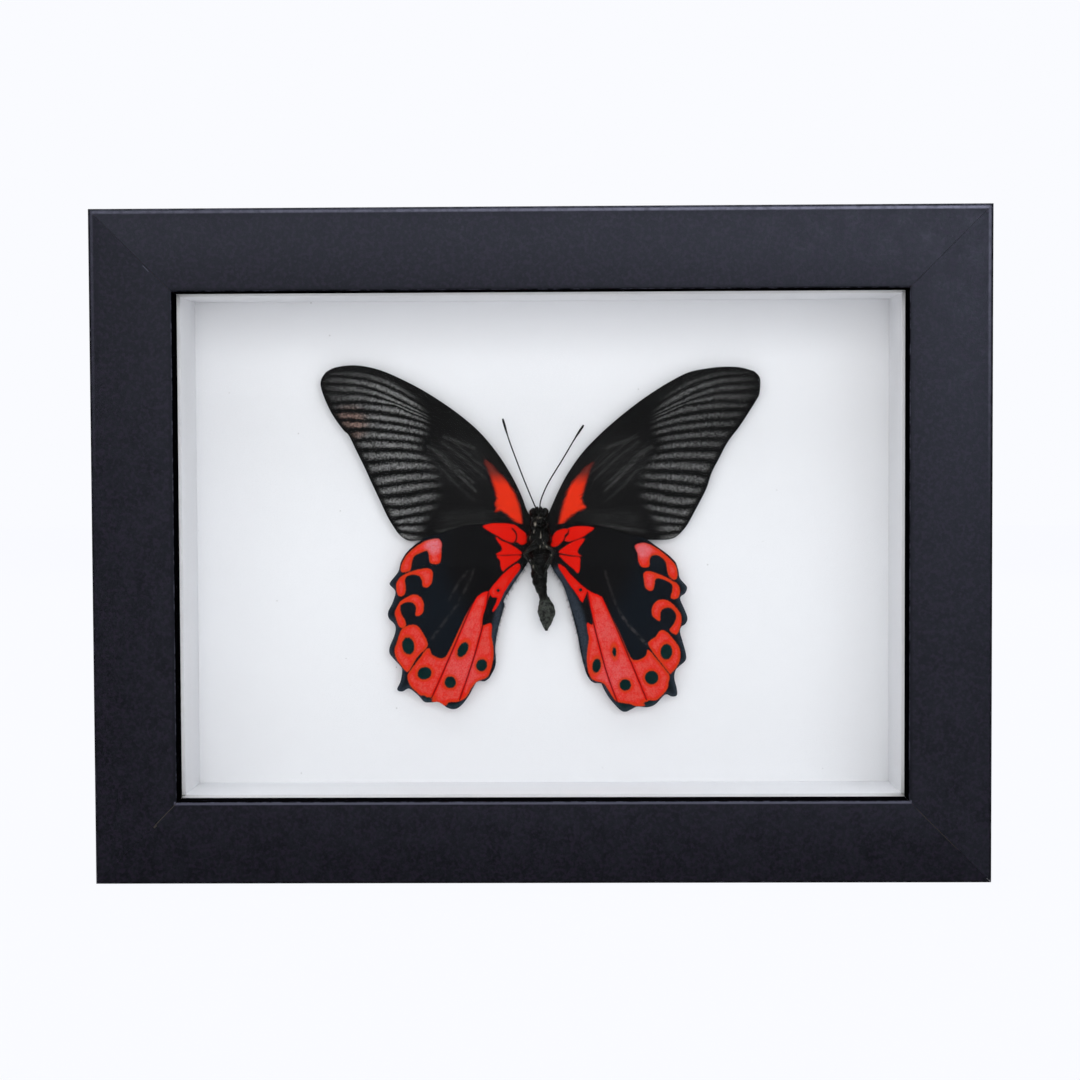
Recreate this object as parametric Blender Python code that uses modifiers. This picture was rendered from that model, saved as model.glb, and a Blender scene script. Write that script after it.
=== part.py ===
"""Framed butterfly specimen: a deep box frame with one swallowtail mounted behind its glass.

Metres, +Z up. +X is to the right seen from the front, and the front faces -Y.
The origin is at the middle of the frame's foot, on the surface that it stands on.
"""

import math

import bmesh
import bpy
from mathutils import Vector

MM = 0.001
GAP = 0.3 * MM
WELD_DISTANCE = 0.01 * MM

# Moulding: an L section, mitred at the corners. The rebate takes a 5 x 7 inch insert.
INSERT_WIDTH = 178 * MM
INSERT_HEIGHT = 127 * MM
FACE_WIDTH = 19 * MM
LIP_OVERLAP = 5 * MM
LIP_THICKNESS = 6 * MM
FRAME_DEPTH = 35 * MM

# Insert stack, from the glass to the back
GLASS_THICKNESS = 2 * MM
SPACER_THICKNESS = LIP_OVERLAP - GAP
MOUNT_DEPTH = 28 * MM
MOUNT_THICKNESS = 2 * MM
BACKING_THICKNESS = 2.5 * MM

# Spring tabs that hold the backing board
TAB_THICKNESS = 0.4 * MM
TAB_WIDTH = 8 * MM
TAB_LENGTH = 16 * MM
TAB_BURIED = 7 * MM
TAB_SPREAD = 45 * MM

# Sawtooth hanger on the back of the top rail
HANGER_WIDTH = 45 * MM
HANGER_HEIGHT = 9 * MM
HANGER_THICKNESS = 0.6 * MM
TOOTH_COUNT = 12
TOOTH_PITCH = 2.5 * MM
TOOTH_HEIGHT = 1.5 * MM
NAIL_SPACING = 38 * MM
NAIL_HEAD_RADIUS = 1.6 * MM
NAIL_HEAD_THICKNESS = 0.5 * MM
NAIL_SHANK_RADIUS = 0.6 * MM
NAIL_LENGTH = 9 * MM
NAIL_POINT_LENGTH = 1.5 * MM
NAIL_HOLE_RADIUS = 0.95 * MM
NAIL_SIDES = 12

# Specimen: depths are measured back from the frame's front face
BODY_DEPTH = 23.9 * MM
HINDWING_DEPTH = 24.7 * MM
FOREWING_DEPTH = 25.3 * MM
WING_THICKNESS = 0.3 * MM
LEG_RADIUS = 0.25 * MM
ANTENNA_RADIUS = 0.2 * MM
ANTENNA_CLUB_RADIUS = 0.35 * MM
ANTENNA_CLUB_START = 0.75
GLUE_RADIUS = 1.6 * MM
GLUE_SIDES = 16

# Pieces between two points of a smoothed line, and quarter-turn pieces round a tube
BODY_STEPS = 3
LEG_STEPS = 5
ANTENNA_STEPS = 4
FOREWING_STEPS = 3
HINDWING_STEPS = 2
BODY_RESOLUTION = 4
LIMB_RESOLUTION = 2

FRAME_WIDTH = INSERT_WIDTH + 2 * (FACE_WIDTH - LIP_OVERLAP)
FRAME_HEIGHT = INSERT_HEIGHT + 2 * (FACE_WIDTH - LIP_OVERLAP)
CENTRE_Z = FRAME_HEIGHT / 2
FRONT_Y = -FRAME_DEPTH / 2
BACK_Y = FRAME_DEPTH / 2
GLASS_Y = FRONT_Y + LIP_THICKNESS + GAP
SPACER_Y = GLASS_Y + GLASS_THICKNESS + GAP
MOUNT_Y = FRONT_Y + MOUNT_DEPTH
BACKING_Y = MOUNT_Y + MOUNT_THICKNESS + GAP
TAB_Y = BACKING_Y + BACKING_THICKNESS + GAP
HANGER_Z = FRAME_HEIGHT - (FACE_WIDTH - LIP_OVERLAP) / 2

# Points below are in millimetres across and up from the middle of the window.
# Body: across, up, radius, from the head to the tip of the claspers.
BODY_STATIONS = [
    (-0.8, 8.9, 0.5), (-0.8, 8.3, 1.8), (-0.7, 6.9, 2.3), (-0.7, 5.4, 2.1), (-0.6, 3.8, 2.9),
    (-0.6, 0.8, 3.1), (-0.7, -2.4, 2.8), (-0.7, -5.0, 2.1), (-0.6, -8.8, 1.9), (-0.1, -11.4, 1.4),
    (0.3, -13.2, 1.0), (0.8, -14.8, 1.6), (1.0, -16.5, 2.0), (1.0, -18.6, 1.6), (1.0, -21.1, 0.4),
]
# Legs: across and up along each leg, and how far it stands off the body.
LEGS = {
    "leg_front_left": ([(-1.7, 1.7), (-2.3, 3.6), (-1.4, 5.4)], 0.65),
    "leg_front_right": ([(0.5, 1.7), (1.0, 3.6), (0.1, 5.4)], 0.65),
    "leg_middle_left": ([(-1.5, 0.9), (-3.4, -1.8), (-1.3, -5.4)], 0.65),
    "leg_middle_right": ([(0.2, 0.9), (2.2, -1.8), (0.2, -5.4)], 0.65),
    "leg_hind_left": ([(-1.3, -1.8), (-4.2, -2.9), (-1.3, -6.9)], 1.5),
    "leg_hind_right": ([(0.1, -1.8), (3.0, -2.9), (0.4, -6.9)], 1.5),
}
# Antennae: across and up.
ANTENNAE = {
    "antenna_left": [(-2.0, 9.5), (-4.2, 15.0), (-6.1, 20.0), (-7.9, 25.0), (-9.3, 29.8)],
    "antenna_right": [(-0.4, 9.7), (1.9, 15.0), (5.0, 20.0), (8.0, 25.0), (10.1, 28.2)],
}
# Wings: across and up, from the root along the leading edge, round the tip and back.
FOREWING = [
    (4.0, 3.4), (3.6, 8.6), (5.0, 12.6), (7.4, 17.0), (10.6, 21.8), (14.9, 26.6), (20.6, 31.5),
    (27.7, 36.4), (34.8, 40.3), (40.0, 42.0), (45.0, 42.5), (49.8, 41.9), (52.3, 40.2), (52.7, 37.5),
    (51.6, 34.0), (49.8, 30.6), (46.0, 25.6), (43.2, 20.2), (40.5, 14.4), (37.7, 8.0), (35.0, 3.6),
    (32.5, 1.2), (29.5, 0.5), (20.0, 1.0), (10.0, 1.2),
]
FOREWING_MIDDLE = -0.4
HINDWING_LEFT = [
    (-4.3, 3.2), (-9.0, 4.9), (-15.0, 4.6), (-22.0, 3.3), (-27.5, 1.5), (-31.8, -1.3), (-34.1, -4.6),
    (-34.8, -7.0), (-36.7, -9.6), (-35.5, -11.6), (-35.8, -13.6), (-37.2, -16.6), (-35.7, -19.2),
    (-35.6, -21.8), (-37.0, -25.8), (-34.6, -29.0), (-34.0, -32.0), (-35.0, -35.2), (-32.4, -35.0),
    (-30.1, -36.6), (-28.0, -38.3), (-25.1, -38.3), (-22.0, -40.0), (-19.4, -38.9), (-17.2, -35.4),
    (-14.6, -33.2), (-12.1, -31.6), (-11.3, -27.5), (-11.2, -23.0), (-10.1, -18.3), (-9.3, -14.3),
    (-7.0, -9.9), (-4.5, -5.6),
]
HINDWING_RIGHT = [
    (3.1, 2.8), (8.0, 4.5), (13.5, 4.0), (18.9, 2.8), (24.6, 1.0), (28.7, -1.6), (32.1, -4.9),
    (32.9, -7.8), (34.7, -10.7), (33.4, -13.0), (33.7, -15.1), (34.9, -18.0), (33.4, -20.4),
    (33.3, -22.9), (34.5, -27.2), (32.6, -30.1), (31.7, -32.6), (32.5, -36.4), (30.0, -36.6),
    (28.1, -38.0), (25.3, -39.6), (22.6, -39.6), (20.0, -40.7), (17.2, -38.9), (15.2, -35.4),
    (12.9, -33.8), (10.7, -32.0), (9.6, -28.2), (8.8, -24.0), (7.6, -19.0), (6.4, -14.0),
    (4.8, -9.8), (3.1, -6.6),
]

# Colour, roughness and metallic value of each material
MATERIALS = {
    "black_foil": ((0.018, 0.019, 0.026), 0.35, 0.0),
    "window_glass": ((0.95, 0.97, 0.96), 0.02, 0.0),
    "white_foam_board": ((0.80, 0.81, 0.82), 0.8, 0.0),
    "white_mount_board": ((0.80, 0.81, 0.84), 0.75, 0.0),
    "brown_hardboard": ((0.25, 0.15, 0.08), 0.7, 0.0),
    "zinc_plated_steel": ((0.62, 0.62, 0.60), 0.3, 1.0),
    "clear_glue": ((0.85, 0.80, 0.65), 0.3, 0.0),
    "dark_chitin": ((0.02, 0.017, 0.014), 0.4, 0.0),
    "black_wing_scales": ((0.012, 0.012, 0.014), 0.7, 0.0),
    "red_wing_scales": ((0.55, 0.05, 0.03), 0.7, 0.0),
}


def clear_scene():
    """Remove whatever objects the scene holds."""
    for obj in list(bpy.data.objects):
        bpy.data.objects.remove(obj, do_unlink=True)


def new_collection(name):
    """A collection of that name, linked to the scene."""
    collection = bpy.data.collections.new(name)
    bpy.context.scene.collection.children.link(collection)
    return collection


def make_material(name):
    """A Principled material from the table of materials."""
    colour, roughness, metallic = MATERIALS[name]
    material = bpy.data.materials.get(name) or bpy.data.materials.new(name)
    material.use_nodes = True
    shader = material.node_tree.nodes["Principled BSDF"]
    shader.inputs["Base Color"].default_value = (*colour, 1.0)
    shader.inputs["Roughness"].default_value = roughness
    shader.inputs["Metallic"].default_value = metallic
    return material


def add_object(name, data, collection, material=None):
    """Link data to the scene as a named object with its material."""
    obj = bpy.data.objects.new(name, data)
    collection.objects.link(obj)
    if material:
        data.materials.append(make_material(material))
    return obj


def as_mesh(obj):
    """Turn a curve object into a welded mesh object of the same name and place."""
    bpy.context.view_layer.update()
    evaluated = obj.evaluated_get(bpy.context.evaluated_depsgraph_get())
    mesh = bpy.data.meshes.new_from_object(evaluated)
    bm = bmesh.new()
    bm.from_mesh(mesh)
    bmesh.ops.remove_doubles(bm, verts=bm.verts, dist=WELD_DISTANCE)
    bm.to_mesh(mesh)
    bm.free()
    name, collection, place = obj.name, obj.users_collection[0], obj.matrix_world.copy()
    bpy.data.objects.remove(obj, do_unlink=True)
    made = add_object(name, mesh, collection)
    made.matrix_world = place
    return made


def add_box(name, low, high, collection, material=None):
    """A box between two corners, placed by its location."""
    low, high = Vector(low), Vector(high)
    mesh = bpy.data.meshes.new(name)
    bm = bmesh.new()
    bmesh.ops.create_cube(bm, size=1.0)
    bmesh.ops.scale(bm, vec=high - low, verts=bm.verts)
    bm.to_mesh(mesh)
    bm.free()
    obj = add_object(name, mesh, collection, material)
    obj.location = (low + high) / 2
    return obj


def smooth_path(points, steps, closed=False):
    """Points along a Catmull-Rom curve through the given ones, in their own units."""
    knots = [Vector(p) for p in points]
    count = len(knots)
    spans = count if closed else count - 1
    path = []
    for i in range(spans):
        if closed:
            a, b, c, d = (knots[(i + k) % count] for k in (-1, 0, 1, 2))
        else:
            a, b, c, d = (knots[min(max(i + k, 0), count - 1)] for k in (-1, 0, 1, 2))
        for step in range(steps):
            t = step / steps
            path.append(b + 0.5 * t * (c - a + t * (2 * a - 5 * b + 4 * c - d + t * (3 * (b - c) + d - a))))
    if not closed:
        path.append(knots[-1])
    return path


def add_curve(name, loops, collection, material=None, closed=False):
    """A curve object of straight-sided splines through the loops' points."""
    curve = bpy.data.curves.new(name, "CURVE")
    for loop in loops:
        spline = curve.splines.new("POLY")
        spline.points.add(len(loop) - 1)
        for knot, point in zip(spline.points, loop):
            knot.co = (*point, *[0.0] * (3 - len(point)), 1.0)
        spline.use_cyclic_u = closed
    return add_object(name, curve, collection, material)


def add_plate(name, loops, thickness, middle_y, collection, material):
    """A flat plate facing the front. Its loops are points across and up, the later ones holes."""
    plate = add_curve(name, loops, collection, material, closed=True)
    plate.data.dimensions = "2D"
    plate.data.fill_mode = "BOTH"
    plate.data.extrude = thickness / 2
    plate.rotation_euler = (math.pi / 2, 0.0, 0.0)
    plate.location = (0.0, middle_y, 0.0)
    return plate


def add_tube(name, points, radii, collection, material, resolution=LIMB_RESOLUTION):
    """A round tube with closed ends through 3D points, with a radius at each."""
    tube = add_curve(name, [points], collection, material)
    tube.data.dimensions = "3D"
    tube.data.bevel_depth = 1.0
    tube.data.bevel_resolution = resolution
    tube.data.use_fill_caps = True
    for knot, radius in zip(tube.data.splines[0].points, radii):
        knot.radius = radius
    return tube


def cut(obj, cutter):
    """Cut one object out of another, and keep the cutter as a guide only."""
    cutter.hide_render = True
    cutter.display_type = "WIRE"
    modifier = obj.modifiers.new("cut_" + cutter.name, "BOOLEAN")
    modifier.operation = "DIFFERENCE"
    modifier.solver = "EXACT"
    modifier.object = cutter


def circle(centre, radius, sides):
    """Points round a circle, as pairs."""
    turns = [2 * math.pi * i / sides for i in range(sides)]
    return [(centre[0] + radius * math.cos(a), centre[1] + radius * math.sin(a)) for a in turns]


def add_frame_member(name, length, reach, turn, collection):
    """One mitred side of the frame. reach is its outer edge's distance from the frame's middle."""
    wall = FACE_WIDTH - LIP_OVERLAP
    section = [
        (0.0, 0.0), (FACE_WIDTH, 0.0), (FACE_WIDTH, LIP_THICKNESS),
        (wall, LIP_THICKNESS), (wall, FRAME_DEPTH), (0.0, FRAME_DEPTH),
    ]
    outline = add_curve(name, [section], collection, closed=True)
    outline.data.dimensions = "2D"
    outline.data.fill_mode = "BOTH"
    outline.data.extrude = length / 2
    member = as_mesh(outline)
    for vertex in member.data.vertices:
        inward = vertex.co.x
        vertex.co.z -= math.copysign(inward + GAP / 2, vertex.co.z)
    member.data.materials.append(make_material("black_foil"))
    member.rotation_euler = (0.0, turn, 0.0)
    away = Vector((-reach * math.cos(turn), 0.0, reach * math.sin(turn)))
    member.location = Vector((0.0, FRONT_Y, CENTRE_Z)) + away
    return member


def add_moulding(collection):
    """The four sides of the frame, by name."""
    sides = {
        "stile_left": (FRAME_HEIGHT, FRAME_WIDTH / 2, 0.0),
        "rail_bottom": (FRAME_WIDTH, FRAME_HEIGHT / 2, -math.pi / 2),
        "stile_right": (FRAME_HEIGHT, FRAME_WIDTH / 2, math.pi),
        "rail_top": (FRAME_WIDTH, FRAME_HEIGHT / 2, math.pi / 2),
    }
    return {name: add_frame_member(name, *side, collection) for name, side in sides.items()}


def add_insert(collection):
    """The glass, the spacer strips round the wall, the mount board and the backing board."""
    half_width = INSERT_WIDTH / 2 - GAP
    half_height = INSERT_HEIGHT / 2 - GAP
    layers = {
        "glass_pane": (GLASS_Y, GLASS_THICKNESS, "window_glass"),
        "mount_board": (MOUNT_Y, MOUNT_THICKNESS, "white_mount_board"),
        "backing_board": (BACKING_Y, BACKING_THICKNESS, "brown_hardboard"),
    }
    for name, (y, thickness, material) in layers.items():
        low = (-half_width, y, CENTRE_Z - half_height)
        high = (half_width, y + thickness, CENTRE_Z + half_height)
        add_box(name, low, high, collection, material)
    near, far = SPACER_Y, MOUNT_Y - GAP
    inner_width = half_width - SPACER_THICKNESS
    inner_height = half_height - SPACER_THICKNESS
    strips = {
        "spacer_top": (-half_width, half_width, inner_height, half_height),
        "spacer_bottom": (-half_width, half_width, -half_height, -inner_height),
        "spacer_left": (-half_width, -inner_width, GAP - inner_height, inner_height - GAP),
        "spacer_right": (inner_width, half_width, GAP - inner_height, inner_height - GAP),
    }
    for name, (left, right, bottom, top) in strips.items():
        low, high = (left, near, CENTRE_Z + bottom), (right, far, CENTRE_Z + top)
        add_box(name, low, high, collection, "white_foam_board")


def add_tab(name, member, base, inward, collection, cutters):
    """One spring tab, set in a slot in the rebate wall. base is the wall's point, inward its way in."""
    base, inward = Vector(base), Vector(inward)
    along = Vector((abs(inward.z), 0.0, abs(inward.x))) * TAB_WIDTH / 2
    across = Vector((0.0, TAB_THICKNESS / 2, 0.0))
    ends = [base - inward * TAB_BURIED, base + inward * (TAB_LENGTH - TAB_BURIED)]
    low = Vector([min(a, b) for a, b in zip(*ends)]) - along - across
    high = Vector([max(a, b) for a, b in zip(*ends)]) + along + across
    add_box(name, low, high, collection, "zinc_plated_steel")
    room = Vector((GAP, GAP, GAP))
    cut(member, add_box("slot_" + name, low - room, high + room, cutters))


def add_tabs(members, collection, cutters):
    """Six spring tabs: two on each long side and one on each short side."""
    wall_x, wall_z = INSERT_WIDTH / 2, INSERT_HEIGHT / 2
    y = TAB_Y + TAB_THICKNESS / 2
    for side, x in (("left", -TAB_SPREAD), ("right", TAB_SPREAD)):
        top = (x, y, CENTRE_Z + wall_z)
        add_tab("tab_top_" + side, members["rail_top"], top, (0, 0, -1), collection, cutters)
        bottom = (x, y, CENTRE_Z - wall_z)
        add_tab("tab_bottom_" + side, members["rail_bottom"], bottom, (0, 0, 1), collection, cutters)
    for side, sign in (("left", -1), ("right", 1)):
        wall = (sign * wall_x, y, CENTRE_Z)
        add_tab("tab_" + side, members["stile_" + side], wall, (-sign, 0, 0), collection, cutters)


def add_hanger(rail, collection, cutters):
    """The sawtooth plate and its two nails, on the back of the top rail."""
    half, low, high = HANGER_WIDTH / 2, HANGER_Z - HANGER_HEIGHT / 2, HANGER_Z + HANGER_HEIGHT / 2
    outline = [(-half, high), (-half, low)]
    start = -TOOTH_COUNT * TOOTH_PITCH / 2
    for tooth in range(TOOTH_COUNT):
        left = start + tooth * TOOTH_PITCH
        outline += [(left, low), (left + TOOTH_PITCH / 2, low + TOOTH_HEIGHT)]
    outline += [(-start, low), (half, low), (half, high)]
    nail_x = (-NAIL_SPACING / 2, NAIL_SPACING / 2)
    holes = [circle((x, HANGER_Z), NAIL_HOLE_RADIUS, NAIL_SIDES) for x in nail_x]
    plate_y = BACK_Y + GAP
    middle_y = plate_y + HANGER_THICKNESS / 2
    add_plate("hanger", [outline, *holes], HANGER_THICKNESS, middle_y, collection, "zinc_plated_steel")
    head_y = plate_y + HANGER_THICKNESS + GAP
    for side, x in zip(("left", "right"), nail_x):
        head = Vector((x, head_y, HANGER_Z))
        add_nail("hanger_nail_" + side, head, collection)
        hole_low = head - Vector((NAIL_HOLE_RADIUS, NAIL_LENGTH + 2 * GAP, NAIL_HOLE_RADIUS))
        hole_high = head + Vector((NAIL_HOLE_RADIUS, 0.0, NAIL_HOLE_RADIUS))
        cut(rail, add_box("hole_" + side, hole_low, hole_high, cutters))


def add_nail(name, place, collection):
    """A round nail whose shank runs to the front. place is the middle of its head's underside."""
    profile = [
        (0.0, NAIL_HEAD_THICKNESS), (NAIL_HEAD_RADIUS, NAIL_HEAD_THICKNESS), (NAIL_HEAD_RADIUS, 0.0),
        (NAIL_SHANK_RADIUS, 0.0), (NAIL_SHANK_RADIUS, NAIL_POINT_LENGTH - NAIL_LENGTH), (0.0, -NAIL_LENGTH),
    ]
    mesh = bpy.data.meshes.new(name)
    bm = bmesh.new()
    verts = [bm.verts.new((x, 0.0, z)) for x, z in profile]
    for pair in zip(verts, verts[1:]):
        bm.edges.new(pair)
    bm.to_mesh(mesh)
    bm.free()
    nail = add_object(name, mesh, collection, "zinc_plated_steel")
    screw = nail.modifiers.new("turn", "SCREW")
    screw.steps = NAIL_SIDES
    screw.render_steps = NAIL_SIDES
    screw.use_merge_vertices = True
    screw.merge_threshold = WELD_DISTANCE
    nail.rotation_euler = (-math.pi / 2, 0.0, 0.0)
    nail.location = place


def body_at(up):
    """The body's middle across and its radius, in millimetres, at a height up its length."""
    for (x0, z0, r0), (x1, z1, r1) in zip(BODY_STATIONS, BODY_STATIONS[1:]):
        if z1 <= up <= z0:
            share = (z0 - up) / (z0 - z1)
            return x0 + share * (x1 - x0), r0 + share * (r1 - r0)
    return BODY_STATIONS[0][0], BODY_STATIONS[0][2]


def in_window(across, depth, up):
    """A point in metres from millimetres across, metres behind the front face and millimetres up."""
    return Vector((across * MM, FRONT_Y + depth, CENTRE_Z + up * MM))


def add_body(collection):
    """Head, thorax, abdomen and claspers, grown as one piece."""
    path = smooth_path(BODY_STATIONS, BODY_STEPS)
    points = [in_window(x, BODY_DEPTH, z) for x, z, _ in path]
    radii = [r * MM for _, _, r in path]
    add_tube("butterfly_body", points, radii, collection, "dark_chitin", BODY_RESOLUTION)


def add_leg(name, knots, stand_off, collection):
    """A folded leg that follows the underside of the body at a small distance."""
    points = []
    for x, z in smooth_path(knots, LEG_STEPS):
        middle, radius = body_at(z)
        reach = (radius + stand_off) ** 2 - (x - middle) ** 2
        points.append(in_window(x, BODY_DEPTH - math.sqrt(max(reach, 0.0)) * MM, z))
    add_tube(name, points, [LEG_RADIUS] * len(points), collection, "dark_chitin")


def add_antenna(name, knots, collection):
    """A thin antenna that thickens to a small club."""
    path = smooth_path(knots, ANTENNA_STEPS)
    points = [in_window(x, BODY_DEPTH, z) for x, z in path]
    club_from = ANTENNA_CLUB_START * (len(path) - 1)
    radii = [ANTENNA_CLUB_RADIUS if i > club_from else ANTENNA_RADIUS for i in range(len(path))]
    add_tube(name, points, radii, collection, "dark_chitin")


def add_wing(name, knots, steps, depth, collection, material):
    """A wing as a thin flat plate with a smooth outline."""
    outline = [(x * MM, CENTRE_Z + z * MM) for x, z in smooth_path(knots, steps, closed=True)]
    add_plate(name, [outline], WING_THICKNESS, FRONT_Y + depth, collection, material)


def add_specimen(collection):
    """The butterfly, underside to the front, and the glue that holds it to the board."""
    add_body(collection)
    for name, (knots, stand_off) in LEGS.items():
        add_leg(name, knots, stand_off, collection)
    for name, knots in ANTENNAE.items():
        add_antenna(name, knots, collection)
    left = [(2 * FOREWING_MIDDLE - x, z) for x, z in reversed(FOREWING)]
    add_wing("forewing_left", left, FOREWING_STEPS, FOREWING_DEPTH, collection, "black_wing_scales")
    add_wing("forewing_right", FOREWING, FOREWING_STEPS, FOREWING_DEPTH, collection, "black_wing_scales")
    hindwings = {"hindwing_left": HINDWING_LEFT, "hindwing_right": HINDWING_RIGHT}
    for name, knots in hindwings.items():
        add_wing(name, knots, HINDWING_STEPS, HINDWING_DEPTH, collection, "red_wing_scales")
    middle, radius = body_at(0.0)
    room = MOUNT_DEPTH - BODY_DEPTH - radius * MM
    dab = [(x, z + CENTRE_Z) for x, z in circle((middle * MM, 0.0), GLUE_RADIUS, GLUE_SIDES)]
    middle_y = MOUNT_Y - room / 2
    add_plate("glue_dab", [dab], room - 2 * GAP, middle_y, collection, "clear_glue")


def main():
    """Build the frame, what it holds and the hardware on its back."""
    clear_scene()
    parts = new_collection("framed_butterfly_specimen")
    cutters = new_collection("cutters")
    members = add_moulding(parts)
    add_insert(parts)
    add_tabs(members, parts, cutters)
    add_hanger(members["rail_top"], parts, cutters)
    add_specimen(parts)


main()
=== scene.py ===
"""Framed butterfly specimen: the finish of every surface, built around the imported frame.

Lengths are metres unless a name ends in _mm. +X is to the right seen from the front, and the front faces -Y.
Points of the specimen are millimetres across and up from the middle of the window.
"""

import logging
import math
from dataclasses import dataclass, field
from enum import Enum
from typing import Sequence

import bmesh
import bpy
import numpy as np
from mathutils import Matrix, Quaternion, Vector


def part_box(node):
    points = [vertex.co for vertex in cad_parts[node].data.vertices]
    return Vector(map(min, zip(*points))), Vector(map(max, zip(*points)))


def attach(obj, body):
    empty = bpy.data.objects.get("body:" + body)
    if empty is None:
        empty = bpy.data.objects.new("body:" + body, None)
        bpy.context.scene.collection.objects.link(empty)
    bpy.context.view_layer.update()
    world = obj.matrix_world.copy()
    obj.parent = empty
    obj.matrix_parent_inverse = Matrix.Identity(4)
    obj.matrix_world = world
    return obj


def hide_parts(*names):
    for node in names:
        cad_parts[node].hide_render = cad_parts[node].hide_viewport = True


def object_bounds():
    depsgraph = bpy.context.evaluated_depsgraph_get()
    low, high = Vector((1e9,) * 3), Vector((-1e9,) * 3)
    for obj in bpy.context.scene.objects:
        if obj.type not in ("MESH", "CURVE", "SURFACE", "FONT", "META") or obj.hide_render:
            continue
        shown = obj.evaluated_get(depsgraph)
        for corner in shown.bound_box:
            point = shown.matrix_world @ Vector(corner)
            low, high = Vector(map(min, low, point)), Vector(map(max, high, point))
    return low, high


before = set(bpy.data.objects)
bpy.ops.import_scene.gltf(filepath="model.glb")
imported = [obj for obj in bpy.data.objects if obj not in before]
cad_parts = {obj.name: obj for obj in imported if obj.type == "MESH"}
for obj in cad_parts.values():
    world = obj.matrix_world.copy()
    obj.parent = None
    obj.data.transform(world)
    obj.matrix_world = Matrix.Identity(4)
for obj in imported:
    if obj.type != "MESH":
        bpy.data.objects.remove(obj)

LOG = logging.getLogger("specimen")
CAD_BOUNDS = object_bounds()
MM = 0.001
SEED = 7

Pair = tuple[float, float]
Colour = tuple[float, float, float]
Number = "bpy.types.NodeSocket | float"


class Side(Enum):
    """Left and right, seen from the front, as the sign of X."""

    LEFT = -1
    RIGHT = 1


class Slot(Enum):
    """The material slots that the record names."""

    FOIL = "black_foil"
    GLASS = "window_glass"
    SPACER = "white_foam_board"
    MOUNT = "white_mount_board"
    BACKING = "brown_hardboard"
    STEEL = "zinc_plated_steel"
    GLUE = "clear_glue"
    CHITIN = "dark_chitin"
    BLACK_WING = "black_wing_scales"
    RED_WING = "red_wing_scales"


# ---------------------------------------------------------------- numbers


def linear(red: int, green: int, blue: int) -> tuple[float, float, float, float]:
    """A colour as a shader takes it.

    Args:
        red, green, blue: the display colour, 0 to 255.

    Returns:
        Scene-linear red, green, blue and an alpha of 1.
    """
    shares = np.array([red, green, blue]) / 255.0
    low, high = shares / 12.92, ((shares + 0.055) / 1.055) ** 2.4
    return (*np.where(shares <= 0.04045, low, high).tolist(), 1.0)


def smooth_step(value: np.ndarray, low: float, high: float) -> np.ndarray:
    """A soft threshold: 0 at low, 1 at high, eased between them."""
    share = np.clip((value - low) / (high - low), 0.0, 1.0)
    return share * share * (3.0 - 2.0 * share)


def smooth_path(points: Sequence[Sequence[float]], steps: int, closed: bool = False) -> np.ndarray:
    """Points along a Catmull-Rom curve.

    Args:
        points: the curve's own points, in any number of dimensions.
        steps: pieces in each span.
        closed: whether the last point joins the first.

    Returns:
        One row for each point of the curve.
    """
    knots = np.asarray(points, float)
    count = len(knots)
    share = (np.arange(steps) / steps)[:, None]
    rows = []
    for i in range(count if closed else count - 1):
        if closed:
            a, b, c, d = (knots[(i + k) % count] for k in (-1, 0, 1, 2))
        else:
            a, b, c, d = (knots[min(max(i + k, 0), count - 1)] for k in (-1, 0, 1, 2))
        cubic = 2 * a - 5 * b + 4 * c - d + share * (3 * (b - c) + d - a)
        rows.append(b + 0.5 * share * (c - a + share * cubic))
    if not closed:
        rows.append(knots[-1:])
    return np.concatenate(rows)


def along_path(points: Sequence[Sequence[float]], shares: np.ndarray) -> np.ndarray:
    """Points at shares of the length of a smooth open curve.

    Args:
        points: the curve's own points.
        shares: how far along, from 0 to 1.

    Returns:
        One row for each share.
    """
    path = smooth_path(points, 12)
    steps = np.linalg.norm(np.diff(path, axis=0), axis=1)
    length = np.concatenate([[0.0], np.cumsum(steps)])
    return np.stack([np.interp(shares * length[-1], length, column) for column in path.T], axis=1)


def line_distance(spots: np.ndarray, path: np.ndarray) -> np.ndarray:
    """The distance from each point to an open line.

    Args:
        spots: points, one a row.
        path: the line's points, one a row.

    Returns:
        One distance for each point.
    """
    best = np.full(len(spots), np.inf)
    for start, end in zip(path, path[1:]):
        run = end - start
        share = np.clip((spots - start) @ run / max(run @ run, 1e-12), 0.0, 1.0)
        best = np.minimum(best, np.linalg.norm(spots - start - share[:, None] * run, axis=1))
    return best


def inside_distance(spots: np.ndarray, loop: np.ndarray) -> np.ndarray:
    """The distance from each point to a closed outline, positive inside it and negative outside.

    Args:
        spots: points, one a row.
        loop: the outline's points, one a row.

    Returns:
        One signed distance for each point.
    """
    inside = np.zeros(len(spots), bool)
    for start, end in zip(loop, np.roll(loop, -1, axis=0)):
        spans = (start[1] > spots[:, 1]) != (end[1] > spots[:, 1])
        rise = end[1] - start[1]
        cross = start[0] + (spots[:, 1] - start[1]) * (end[0] - start[0]) / (rise if rise else 1.0)
        inside ^= spans & (spots[:, 0] < cross)
    reach = line_distance(spots, np.vstack([loop, loop[:1]]))
    return np.where(inside, reach, -reach)


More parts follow.
